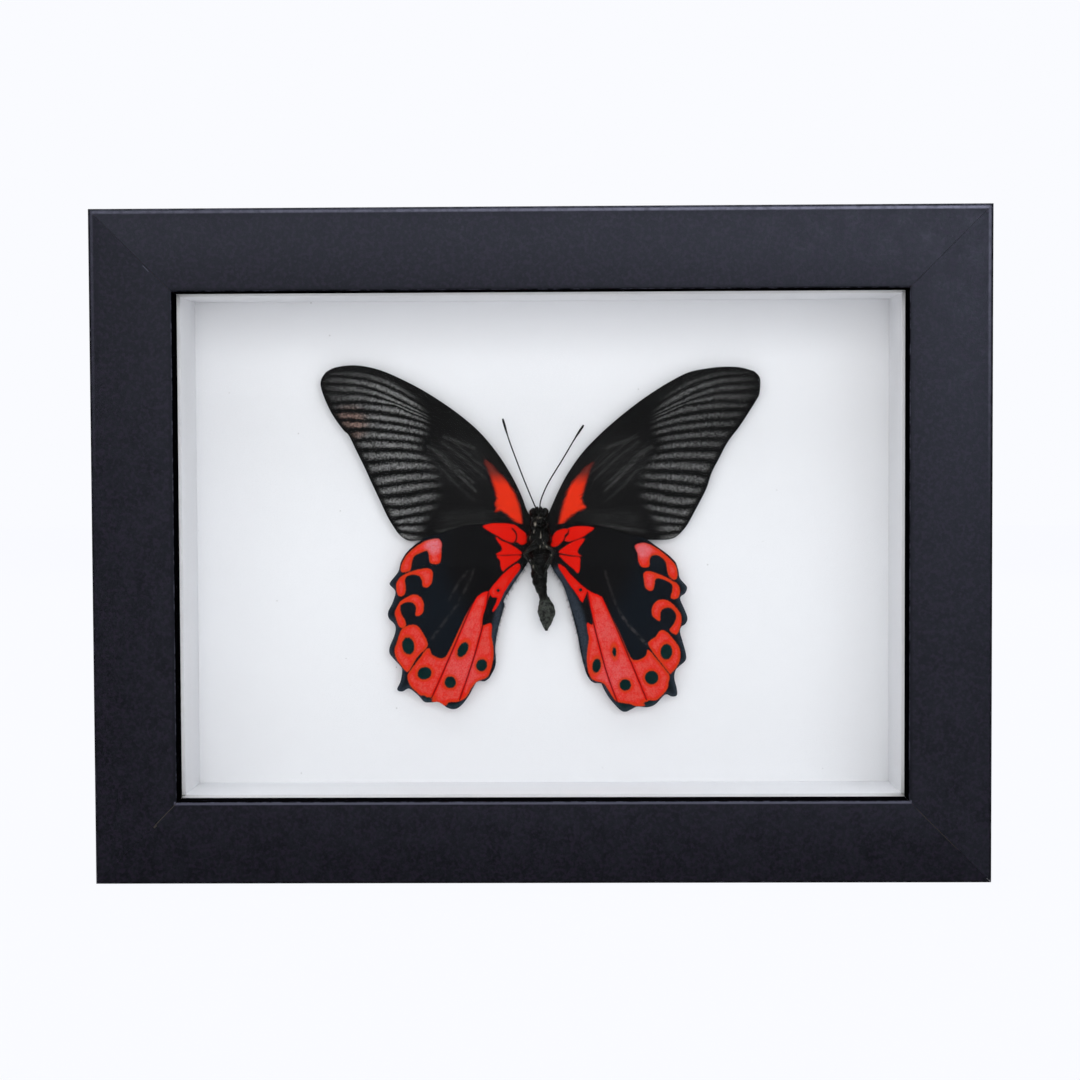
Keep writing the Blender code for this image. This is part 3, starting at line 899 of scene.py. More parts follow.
@dataclass
class Moulding:
    """The four mitred sides of the frame: an L section wrapped in foil round a fibre core."""

    face_width: float = 19.0 * MM
    lip_overlap: float = 5.0 * MM
    lip_thickness: float = 6.0 * MM
    outer_round: float = 0.75 * MM
    lip_round: float = 0.45 * MM
    back_round: float = 0.5 * MM
    lip_wall_from: float = 0.2 * MM
    mitre_gap: float = 0.05 * MM
    round_steps: int = 5
    low: Vector = field(default_factory=lambda: Vector(CAD_BOUNDS[0]))
    high: Vector = field(default_factory=lambda: Vector((CAD_BOUNDS[1][0], *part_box("rail_top")[1].yz)))

    def section(self) -> list[Pair]:
        """The section's corners, as inward and backward distances."""
        depth = self.high.y - self.low.y
        wall = self.face_width - self.lip_overlap
        return [
            (0.0, 0.0), (self.face_width, 0.0), (self.face_width, self.lip_thickness),
            (wall, self.lip_thickness), (wall, depth), (0.0, depth),
        ]

    def rounding(self, inward: float, back: float) -> float:
        """The radius of the long edge at a corner of the section."""
        if back == 0.0:
            return self.outer_round if inward == 0.0 else self.lip_round
        return self.back_round if inward == 0.0 else self.lip_round / 2

    def member(self, name: str, length: float, reach: float, turn: float) -> bpy.types.Object:
        """Build one side of the frame.

        Args:
            name: the piece's name.
            length: its outer length.
            reach: its outer edge's distance from the frame's middle.
            turn: its angle about the frame's middle.

        Returns:
            The finished side.
        """
        corners = self.section()
        bm = bmesh.new()
        verts = [bm.verts.new((inward, back, -length / 2)) for inward, back in corners]
        face = bm.faces.new(verts)
        made = bmesh.ops.extrude_face_region(bm, geom=[face])["geom"]
        far = [g for g in made if isinstance(g, bmesh.types.BMVert)]
        bmesh.ops.translate(bm, vec=(0.0, 0.0, length), verts=far)
        for inward, back in corners:
            long_edges = [
                e for e in bm.edges
                if e.calc_length() > length / 2
                and all(abs(v.co.x - inward) + abs(v.co.y - back) < self.lip_round / 10 for v in e.verts)
            ]
            bmesh.ops.bevel(
                bm, geom=long_edges, offset=self.rounding(inward, back), offset_type="OFFSET",
                affect="EDGES", segments=self.round_steps, profile=0.5, material=-1,
            )
        for vert in bm.verts:
            vert.co.z -= math.copysign(vert.co.x + self.mitre_gap / 2, vert.co.z)
        close_up(bm)
        bm.faces.index_update()
        arris = [self.wear_at(v.co.x, v.co.y) for v in bm.verts]
        wall = self.face_width - self.lip_overlap
        core = {f.index for f in bm.faces if self.is_core(f, wall)}
        lip = {f.index for f in bm.faces if self.is_lip_wall(f)}
        place = Matrix.Translation((0.0, self.low.y, CENTRE_Z)) @ Matrix.Rotation(turn, 4, "Y")
        bmesh.ops.transform(bm, matrix=place @ Matrix.Translation((-reach, 0.0, 0.0)), verts=bm.verts)
        piece = finish_mesh(name + "_moulding", bm, self.foil())
        piece.data.materials.append(CORE.build())
        piece.data.materials.append(SHADED_LIP_WALL.build())
        for polygon in piece.data.polygons:
            polygon.material_index = 1 if polygon.index in core else 2 if polygon.index in lip else 0
        set_values(piece.data, "arris", np.array(arris))
        return hand_over(piece, Slot.FOIL, name)

    def wear_at(self, inward: float, back: float) -> float:
        """How worn the foil is at a point of the section: 1 near a front arris, and 0 elsewhere."""
        for corner, radius in ((0.0, self.outer_round), (self.face_width, self.lip_round)):
            if math.hypot(inward - corner, back) < 0.62 * radius:
                return 1.0
        return 0.0

    def is_lip_wall(self, polygon: bmesh.types.BMFace) -> bool:
        """Whether a face is the lip's edge, which looks into the opening."""
        middle = polygon.calc_center_median()
        inmost = middle.x > self.face_width - self.lip_round
        return polygon.normal.x > 0.6 and inmost and middle.y > self.lip_wall_from

    def is_core(self, polygon: bmesh.types.BMFace, wall: float) -> bool:
        """Whether a face shows the fibre core: the cut mitres and the rebate."""
        middle = polygon.calc_center_median()
        mitre = abs(polygon.normal.z) > 0.3
        rebate = middle.x > wall - self.lip_round and middle.y > self.lip_thickness - self.lip_round / 4
        return mitre or rebate

    def foil(self) -> Foil:
        """The foil, with the few short marks on its face."""
        front = self.low.y
        half_width, half_height = self.high.x, (self.high.z - self.low.z) / 2
        right, up = half_width - self.face_width, half_height - self.face_width
        pale, brown, dark = linear(104, 104, 122), linear(74, 68, 62), linear(6, 6, 9)
        # Each mark: its corner of the opening, how far past it across and up, its turn, its length and width,
        # its strength and its colour. Its lengths are millimetres.
        marks = (
            (-1, 1, 5.8, 5.3, -0.8, 2.2, 0.3, 0.5, pale),
            (-1, -1, 2.7, 2.9, 0.8, 8.2, 0.28, 0.9, brown),
            (-1, -1, 5.1, 5.6, 0.8, 1.0, 0.6, 0.9, brown),
            (1, -1, 6.4, 6.5, -0.785, 15.0, 0.26, 0.6, brown),
            (1, 1, 7.0, 7.0, 0.785, 19.0, 0.34, 0.8, dark),
        )
        scratches = tuple(
            (
                (side * (right + past * MM), front, CENTRE_Z + end * (up + rise * MM)),
                turn, length * MM, width * MM, strength, paint,
            )
            for side, end, past, rise, turn, length, width, strength, paint in marks
        )
        return Foil(
            "black_foil_wrap", 0.45, 0.5, half_width=half_width, half_height=half_height,
            middle=(self.high.z + self.low.z) / 2, face=self.face_width, scratches=scratches,
        )

    def build(self) -> None:
        """Build the four sides."""
        width, height = 2 * self.high.x, self.high.z - self.low.z
        sides = {
            "stile_left": (height, width / 2, 0.0),
            "rail_bottom": (width, height / 2, -math.pi / 2),
            "stile_right": (height, width / 2, math.pi),
            "rail_top": (width, height / 2, math.pi / 2),
        }
        for name, (length, reach, turn) in sides.items():
            self.member(name, length, reach, turn)


@dataclass
class Insert:
    """What fills the rebate: the glass, the white strips round the wall, the mount board and the backing."""

    glass_arris: float = 0.15 * MM
    card_edge: float = 0.10 * MM
    board_edge: float = 0.4 * MM
    strip_swell: float = 0.35 * MM

    def block(self, node: str, edge: float, finish: Finish, slot: Slot, swell: float = 0.0) -> bpy.types.Object:
        """Build one board in the place of its CAD node.

        Args:
            node: the CAD node, and the piece's name.
            edge: the radius of its edges.
            finish: its finish.
            slot: the record's slot.
            swell: how much it grows across and backward, to close up to its neighbours.

        Returns:
            The finished board.
        """
        low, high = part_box(node)
        low, high = low - Vector((swell, 0.0, swell)), high + Vector((swell, swell, swell))
        bm = bmesh.new()
        add_block(bm, low, high, edge)
        return hand_over(finish_mesh(node + "_sheet", bm, finish), slot, node)

    def build(self) -> None:
        """Build the glass, the strips and the boards."""
        pane = self.block("glass_pane", self.glass_arris, Glass("picture_glass", 0.0), Slot.GLASS)
        pane.visible_shadow = False
        strip = Card(
            "white_strip_card", 0.75, 0.3, base=linear(238, 238, 240), shade=linear(234, 234, 236), dust=0.002
        )
        for side in ("top", "bottom", "left", "right"):
            self.block("spacer_" + side, self.card_edge, strip, Slot.SPACER, self.strip_swell)
        self.block("mount_board", self.card_edge, Card("white_mount_card", 0.8, 0.25), Slot.MOUNT)
        hardboard = Fibreboard("brown_hardboard_sheet", 0.6, 0.3)
        self.block("backing_board", self.board_edge, hardboard, Slot.BACKING)


@dataclass
class BackHardware:
    """The spring tabs, the sawtooth hanger and its nails."""

    arris: float = 0.08 * MM
    tab_corner: float = 1.6 * MM
    rib_depth: float = 0.35 * MM
    nail_head: float = 0.5 * MM
    nail_dome: float = 0.35 * MM
    nail_point: float = 1.5 * MM
    nail_sides: int = 24
    steel: Steel = Steel("zinc_plate", 0.3, metallic=1.0)

    def tab(self, node: str) -> bpy.types.Object:
        """Build one spring tab: round-ended, with a rib down its middle.

        Args:
            node: the CAD node, and the piece's name.

        Returns:
            The finished tab.
        """
        low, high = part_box(node)
        size = high - low
        upright = size.z > size.x
        length, width = (size.z, size.x) if upright else (size.x, size.z)
        bm = bmesh.new()
        grid = bmesh.ops.create_grid(bm, x_segments=16, y_segments=32, size=0.5)["verts"]
        bmesh.ops.scale(bm, vec=(width, length, 1.0), verts=grid)
        corners = [v for v in bm.verts if abs(v.co.x) > 0.49 * width or abs(v.co.y) > 0.49 * length]
        for vert in corners:
            over_x = abs(vert.co.x) - (width / 2 - self.tab_corner)
            over_y = abs(vert.co.y) - (length / 2 - self.tab_corner)
            if over_x > 0 and over_y > 0:
                shrink = self.tab_corner / math.hypot(over_x, over_y)
                vert.co.x = math.copysign(width / 2 - self.tab_corner + over_x * min(shrink, 1.0), vert.co.x)
                vert.co.y = math.copysign(length / 2 - self.tab_corner + over_y * min(shrink, 1.0), vert.co.y)
        for vert in bm.verts:
            along = vert.co.y / length
            rib = math.exp(-((vert.co.x / (0.12 * width)) ** 2)) * math.exp(-((along / 0.32) ** 4))
            vert.co.z = self.rib_depth * rib
        bmesh.ops.solidify(bm, geom=bm.faces[:], thickness=size.y)
        turn = Matrix.Rotation(math.pi / 2, 4, "X")
        if not upright:
            turn = Matrix.Rotation(math.pi / 2, 4, "Y") @ turn
        bmesh.ops.transform(bm, matrix=Matrix.Translation((low + high) / 2) @ turn, verts=bm.verts)
        close_up(bm)
        return hand_over(finish_mesh(node + "_spring", bm, self.steel, 50.0), Slot.STEEL, node)

    def hanger(self) -> bpy.types.Object:
        """Build the sawtooth plate from its CAD outline, with its arrises broken.

        Returns:
            The finished plate.
        """
        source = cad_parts["hanger"].data
        bm = bmesh.new()
        bm.from_mesh(source)
        bmesh.ops.remove_doubles(bm, verts=bm.verts, dist=0.01 * MM)
        bmesh.ops.dissolve_limit(bm, angle_limit=math.radians(1.0), verts=bm.verts, edges=bm.edges)
        sharp = [e for e in bm.edges if e.is_manifold and e.calc_face_angle(0.0) > math.radians(60.0)]
        rims = [e for e in sharp if abs(e.verts[0].co.y - e.verts[1].co.y) < 0.01 * MM]
        bmesh.ops.bevel(
            bm, geom=rims, offset=self.arris, offset_type="OFFSET", affect="EDGES",
            segments=2, profile=0.5, material=-1,
        )
        return hand_over(finish_mesh("hanger_plate", bm, self.steel), Slot.STEEL, "hanger")

    def nail(self, node: str) -> bpy.types.Object:
        """Build one nail: a domed head and a pointed shank, spun about its axis.

        Args:
            node: the CAD node, and the piece's name.

        Returns:
            The finished nail.
        """
        low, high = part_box(node)
        middle = (low + high) / 2
        head_radius = (high.x - low.x) / 2
        shank_radius = 0.375 * head_radius
        head_y = high.y - self.nail_head
        rim_y = head_y + self.nail_head - self.nail_dome
        profile = [
            (0.0, high.y), (0.45 * head_radius, high.y - 0.08 * MM), (0.8 * head_radius, high.y - 0.25 * MM),
            (head_radius, rim_y), (head_radius, head_y), (shank_radius, head_y),
            (shank_radius, low.y + self.nail_point), (0.0, low.y),
        ]
        bm = bmesh.new()
        verts = [bm.verts.new((middle.x + radius, y, middle.z)) for radius, y in profile]
        edges = [bm.edges.new(pair) for pair in zip(verts, verts[1:])]
        bmesh.ops.spin(
            bm, geom=verts + edges, cent=middle, axis=(0.0, 1.0, 0.0), angle=2 * math.pi,
            steps=self.nail_sides, use_merge=True,
        )
        bmesh.ops.remove_doubles(bm, verts=bm.verts, dist=0.001 * MM)
        close_up(bm)
        return hand_over(finish_mesh(node + "_pin", bm, self.steel), Slot.STEEL, node)

    def build(self) -> None:
        """Build the tabs, the hanger and the nails."""
        for place in ("top_left", "top_right", "bottom_left", "bottom_right", "left", "right"):
            self.tab("tab_" + place)
        self.hanger()
        for side in ("left", "right"):
            self.nail("hanger_nail_" + side)


# ---------------------------------------------------------------- the wings


@dataclass(frozen=True)
class WingShape:
    """A wing's outline: its leading and trailing edges from the root out, and its outer margin between them."""

    costa: tuple[Pair, ...]
    outer: tuple[Pair, ...]
    inner: tuple[Pair, ...]

    def cloth(self, rays: np.ndarray, rows: np.ndarray) -> np.ndarray:
        """Points inside the outline, blended from its three lines and the straight root.

        Args:
            rays: how far out from the root each point is, from 0 to 1.
            rows: how far back from the leading edge, from 0 to 1.

        Returns:
            Millimetres across and up, one row for each point.
        """
        root = (self.costa[0], self.inner[0])
        lead, trail = along_path(self.costa, rays), along_path(self.inner, rays)
        near, far = along_path(root, rows), along_path(self.outer, rows)
        u, v = rays[:, None], rows[:, None]
        ruled = (1 - v) * lead + v * trail + (1 - u) * near + u * far
        a, b = np.array(self.costa[0]), np.array(self.inner[0])
        c, d = np.array(self.outer[0]), np.array(self.outer[-1])
        return ruled - ((1 - u) * ((1 - v) * a + v * b) + u * ((1 - v) * c + v * d))


@dataclass
class Wing:
    """A wing: a thin sheet shaped by its outline, with its markings held at its vertices."""

    side: Side
    shape: WingShape
    kind: str
    slot: Slot
    rays: int = 200
    rows: int = 190
    thickness: float = 0.12 * MM
    lift: float = 0.22 * MM

    @property
    def node(self) -> str:
        """The CAD node that the wing stands for."""
        return f"{self.kind}_{self.side.name.lower()}"

    def markings(self, spots: np.ndarray) -> dict[str, np.ndarray]:
        """The values that the finish reads, by name, for each point of the wing."""
        raise NotImplementedError

    def relief(self, spots: np.ndarray, values: dict[str, np.ndarray]) -> np.ndarray:
        """How far each point stands towards the front, in metres."""
        raise NotImplementedError

    def build(self, finish: Finish) -> bpy.types.Object:
        """Build the wing.

        Args:
            finish: its finish.

        Returns:
            The finished wing.
        """
        depth = middle_of(self.node).y
        bm = bmesh.new()
        bmesh.ops.create_grid(bm, x_segments=self.rays, y_segments=self.rows, size=0.5)
        flat = np.array([v.co for v in bm.verts]) + 0.5
        spots = self.shape.cloth(flat[:, 0], flat[:, 1])
        values = self.markings(spots)
        forward = self.relief(spots, values)
        for vert, spot, rise in zip(bm.verts, spots, forward):
            vert.co = in_window(spot[0], depth - rise, spot[1])
        if sum(f.normal.y for f in self.updated(bm)) > 0:
            bmesh.ops.reverse_faces(bm, faces=bm.faces)
        piece = finish_mesh(self.node + "_scaled", bm, finish, 80.0)
        mesh = piece.data
        for name, numbers in values.items():
            set_values(mesh, name, numbers)
        corner = np.zeros(len(mesh.loops), np.int32)
        mesh.loops.foreach_get("vertex_index", corner)
        layer = mesh.uv_layers.new(name="rays")
        layer.data.foreach_set("uv", flat[corner, :2].ravel())
        wall = piece.modifiers.new("thickness", "SOLIDIFY")
        wall.thickness = self.thickness
        wall.offset = 0.0
        return hand_over(piece, self.slot, self.node)

    @staticmethod
    def updated(bm: bmesh.types.BMesh) -> bmesh.types.BMFaceSeq:
        """The faces of a mesh, with fresh normals."""
        bm.normal_update()
        return bm.faces


FOREWING_SHAPES = {
    Side.LEFT: WingShape(
        costa=(
            (-2.6, 6.4), (-3.6, 7.8), (-5.0, 11.6), (-7.5, 16.6), (-10.7, 21.6), (-15.0, 26.75),
            (-20.7, 31.6), (-27.9, 36.4), (-35.0, 40.1), (-40.0, 42.0), (-45.0, 42.8), (-49.5, 42.3),
            (-51.8, 41.2),
        ),
        outer=(
            (-51.8, 41.2), (-52.9, 39.5), (-53.0, 37.5), (-51.8, 34.0), (-50.0, 30.5), (-47.7, 27.3),
            (-46.4, 26.0), (-44.6, 22.3), (-42.7, 18.4), (-40.9, 14.4), (-39.1, 10.5), (-37.1, 6.2),
            (-35.0, 2.8),
        ),
        inner=((-2.2, 3.0), (-10.0, 1.6), (-20.0, 1.1), (-28.9, 0.7), (-31.8, 0.6), (-33.6, 1.4), (-35.0, 2.8)),
    ),
    Side.RIGHT: WingShape(
        costa=(
            (1.0, 6.2), (1.8, 7.6), (3.9, 12.3), (6.4, 16.9), (9.9, 21.75), (13.9, 25.9), (18.1, 29.6),
            (22.4, 33.0), (26.7, 36.0), (31.0, 38.6), (35.3, 40.7), (39.6, 41.6), (43.9, 42.0),
            (47.8, 41.8), (51.0, 40.9),
        ),
        outer=(
            (51.0, 40.9), (52.1, 39.8), (52.5, 38.4), (52.25, 35.5), (51.7, 34.25), (49.6, 30.9),
            (47.4, 27.6), (44.75, 24.1), (42.6, 20.1), (40.8, 16.6), (39.6, 13.0), (38.0, 9.8), (35.3, 4.8),
            (34.2, 3.2),
        ),
        inner=((0.8, 3.0), (10.0, 1.4), (20.0, 0.9), (27.4, 0.57), (31.0, 0.8), (32.8, 1.75), (34.2, 3.2)),
    ),
}

FOREWING_WEDGES = {
    Side.LEFT: (
        (-13.75, 19.75), (-12.5, 19.25), (-11.0, 17.5), (-9.5, 16.0), (-8.0, 14.0), (-6.75, 12.0),
        (-5.9, 10.0), (-5.4, 8.0), (-5.0, 6.25), (-4.9, 4.5), (-5.5, 4.75), (-7.0, 5.75), (-8.5, 7.0),
        (-10.0, 8.0), (-11.0, 7.75), (-10.75, 8.75), (-11.25, 9.25), (-10.75, 10.5), (-11.0, 12.0),
        (-11.5, 13.75), (-12.25, 16.0), (-13.25, 18.25),
    ),
    Side.RIGHT: (
        (12.4, 19.1), (11.0, 18.4), (9.2, 16.6), (7.8, 14.8), (6.4, 12.6), (5.5, 10.1), (4.75, 7.6),
        (4.2, 5.1), (4.0, 4.25), (5.3, 5.1), (7.1, 6.6), (8.9, 7.8), (10.5, 8.5), (9.75, 9.4), (9.4, 10.9),
        (9.9, 12.3), (10.5, 14.4), (11.2, 16.6), (12.0, 18.4),
    ),
}

# The dark lines of the left forewing, from the trailing edge up: across and up along each, then its
# half width as a share of the space to its neighbour. Every other one is a vein, and the rest are folds.
FOREWING_LINES = (
    (((-38, 4.3), (-30, 4.6), (-26, 4.8)), 0.20),
    (((-38, 5.4), (-35, 5.9), (-32, 6.5), (-28, 7.2)), 0.26),
    (((-41, 8.8), (-38, 9.0), (-35, 8.6), (-32, 8.8), (-28, 9.5), (-24, 9.9)), 0.20),
    (((-41, 10.9), (-38, 11.2), (-35, 11.5), (-32, 11.7), (-28, 12.6), (-23, 13.0)), 0.30),
    (((-41, 13.4), (-38, 13.7), (-35, 14.2), (-32, 14.6), (-28, 14.8), (-23, 15.0)), 0.17),
    (((-41, 16.0), (-38, 16.7), (-35, 16.9), (-30, 17.2), (-28, 17.2), (-23, 17.3)), 0.30),
    (((-44, 19.2), (-41, 19.5), (-38, 19.7), (-35, 19.8), (-30, 19.7), (-28, 19.5), (-24, 18.9)), 0.17),
    (((-44, 22.3), (-41, 22.3), (-35, 22.3), (-32, 22.1), (-28, 21.4), (-25, 20.6)), 0.30),
    (((-44, 24.6), (-41, 24.8), (-38, 24.7), (-35, 24.5), (-32, 24.2), (-28, 23.4), (-25, 22.4)), 0.17),
    (((-47, 27.2), (-44, 27.2), (-41, 27.2), (-38, 26.9), (-35, 26.5), (-32, 26.2), (-28, 25.2),
      (-25, 24.0)), 0.28),
    (((-47, 29.5), (-44, 29.3), (-41, 29.2), (-38, 28.9), (-35, 28.6), (-32, 28.0), (-28, 27.0),
      (-25, 25.5)), 0.18),
    (((-47, 31.7), (-41, 31.4), (-38, 31.0), (-35, 30.5), (-32, 29.9), (-28, 28.6), (-25, 27.0)), 0.28),
    (((-50, 33.4), (-44, 33.8), (-41, 33.5), (-38, 33.2), (-35, 32.8), (-32, 31.4), (-28, 29.7),
      (-25, 28.2)), 0.18),
    (((-50, 36.2), (-47, 35.8), (-44, 35.8), (-41, 35.2), (-38, 34.4), (-35, 33.3), (-28, 30.3),
      (-25, 28.8)), 0.20),
    (((-50, 38.0), (-47, 37.9), (-44, 37.6), (-41, 36.9), (-38, 35.9), (-35, 34.5), (-32, 33.0),
      (-28, 30.9)), 0.20),
    (((-50, 39.9), (-47, 39.7), (-44, 39.4), (-41, 38.8), (-38, 37.8), (-35, 36.5), (-32, 34.9),
      (-28, 32.5)), 0.20),
    (((-50, 41.5), (-44, 41.6), (-41, 41.0), (-38, 40.0), (-35, 38.8), (-30, 35.9), (-25, 32.9)), 0.30),
)


# How bright the rays are at places across the left wing, in millimetres, and low down and high up on each wing.
# The left wing's rays are brighter than the right's: partly the wing's own tone and partly painted sheen where
# the left wing catches more light.
RAY_PLACES = (-52, -47, -42, -37, -33, -28, -24)
RAY_TONES_AND_SHEEN = {
    Side.LEFT: (0.10, 0.28, 0.46, 0.80, 0.70, 0.48, 0.2),
    Side.RIGHT: (0.08, 0.25, 0.37, 0.47, 0.50, 0.39, 0.2),
}
RAY_RISE = {Side.LEFT: (0.90, 1.06), Side.RIGHT: (0.9, 0.72)}


@dataclass
class Forewing(Wing):
    """A forewing seen from below: black, with grey rays between dark lines and a red wedge at its root."""

    mirror_mm: float = -0.4
    margin_fade: Pair = (0.35, 1.9)
    start_fade: Pair = (-0.6, 3.2)
    high_up: Pair = (16.0, 27.0)
    deep_up: Pair = (13.5, 17.5)
    root_fade: Pair = (-30.0, -14.0)
    # across, up, reach and fade
    brown_patch: tuple = (-46.3, 28.8, 5.6, 3.6)
    ray_start: tuple[Pair, ...] = (
        (-28.5, 2.0), (-27.5, 4.5), (-26.5, 6.6), (-25.0, 8.6), (-23.8, 11.0), (-23.6, 15.0), (-25.0, 19.0),
        (-28.3, 22.0), (-28.6, 24.5), (-26.8, 26.5), (-26.6, 30.0), (-28.0, 33.5), (-33.0, 38.5),
    )

    def as_left(self, spots: np.ndarray) -> np.ndarray:
        """The points as they lie on the left wing."""
        if self.side is Side.LEFT:
            return spots
        return np.stack([2 * self.mirror_mm - spots[:, 0], spots[:, 1] + 0.2], axis=1)

    def markings(self, spots: np.ndarray) -> dict[str, np.ndarray]:
        """The wing's values.

        Args:
            spots: its points, in millimetres.

        Returns:
            Numbers by name: the phase counts the dark lines, and the rest are shares or distances.
        """
        left = self.as_left(spots)
        x, up = left[:, 0], left[:, 1]
        heights = []
        for line, _ in FOREWING_LINES:
            path = smooth_path(line, 6)
            slope = (path[-1, 1] - path[-2, 1]) / (path[-1, 0] - path[-2, 0])
            past = np.maximum(x - path[-1, 0], 0.0)
            heights.append(np.interp(x, path[:, 0], path[:, 1]) + slope * past)
        stack = np.maximum.accumulate(np.array(heights) + np.arange(len(heights))[:, None] * 0.02, axis=0)
        below = (stack < up).sum(axis=0)
        lower = np.clip(below - 1, 0, len(stack) - 2)
        rows = np.arange(len(x))
        base, top = stack[lower, rows], stack[lower + 1, rows]
        phase = lower + (up - base) / np.maximum(top - base, 0.3)
        widths = np.array([share for _, share in FOREWING_LINES])
        line = np.interp(phase, np.arange(len(widths)), widths)
        margin = line_distance(spots, smooth_path(self.shape.outer, 6))
        start = np.array(self.ray_start)
        inner_x = np.interp(up, start[:, 1], start[:, 0])
        reach = smooth_step(margin, *self.margin_fade) * smooth_step(inner_x - x, *self.start_fade)
        bright = np.interp(x, RAY_PLACES, RAY_TONES_AND_SHEEN[self.side])
        costal = smooth_step(phase, len(stack) - 1.15, len(stack) - 2.0)
        foot = smooth_step(phase, -2.7, -1.2)
        low_share, high_share = RAY_RISE[self.side]
        rise = low_share + (high_share - low_share) * smooth_step(up, *self.high_up)
        tone = reach * bright * costal * foot * rise
        red = inside_distance(spots, smooth_path(FOREWING_WEDGES[self.side], 4, closed=True))
        patch_x, patch_up, patch_reach, patch_fade = self.brown_patch
        brown = smooth_step(patch_reach - np.hypot(x - patch_x, up - patch_up), 0.0, patch_fade)
        return {
            "phase": np.clip(phase, -3.0, len(stack) - 0.5),
            "line": 0.5 * line,
            "line_soft": line + 0.25,
            "tone": tone,
            "pale": self.pale_marks(left),
            "red": red,
            "deep": smooth_step(up, *self.deep_up),
            "root": smooth_step(x, *self.root_fade),
            "brown": brown * (self.side is Side.LEFT),
            "cell": self.cell_streaks(x, up),
        }

    def cell_streaks(self, x: np.ndarray, up: np.ndarray) -> np.ndarray:
        """How much faint grey streaking the cell and the hind margin show, for each point of the left wing."""
        cell = smooth_step(8.0 - np.hypot((x + 20.5) * 0.75, up - 19.5), 0.0, 4.5)
        hind = smooth_step(x, -27.0, -22.0) * smooth_step(x, -9.0, -15.0)
        hind *= smooth_step(3.4 - np.abs(up - 5.6), 0.0, 2.4)
        return np.maximum(0.10 * cell, 0.12 * hind)

    def pale_marks(self, left: np.ndarray) -> np.ndarray:
        """Thin grey smears at the end of the cell, as a share of the ray colour."""
        smears = (
            (((-27.2, 23.2), (-24.7, 21.2), (-21.0, 17.5), (-16.0, 12.5)), 0.42, 0.12),
            (((-25.5, 22.8), (-21.5, 19.0), (-16.5, 14.5)), 0.32, 0.08),
            (((-23.5, 25.6), (-18.5, 23.7), (-16.0, 22.8)), 0.45, 0.09),
            (((-24.0, 24.3), (-19.0, 20.5), (-13.5, 15.5)), 0.32, 0.07),
            (((-21.5, 24.6), (-17.0, 20.8), (-12.5, 16.8)), 0.30, 0.06),
            (((-24.5, 18.5), (-20.0, 13.5), (-16.0, 10.0)), 0.34, 0.06),
            (((-25.3, 2.9), (-20.0, 3.6), (-14.6, 4.3)), 0.45, 0.08),
        )
        total = np.zeros(len(left))
        for line, half_width, share in smears:
            near = line_distance(left, smooth_path(line, 4))
            smear = smooth_step(half_width - near, -half_width * 0.4, half_width * 0.6)
            total = np.maximum(total, share * smear)
        return total

    def relief(self, spots: np.ndarray, values: dict[str, np.ndarray]) -> np.ndarray:
        """Raise the dark lines as folds over a gently waved sheet."""
        wave = 0.5 * self.lift * ripple(spots, 38.0, SEED + self.side.value)
        near_line = np.abs(values["phase"] - np.round(values["phase"]))
        folds = 0.05 * MM * smooth_step(near_line, 0.35, 0.0) * smooth_step(values["tone"], 0.0, 0.4)
        return wave + folds


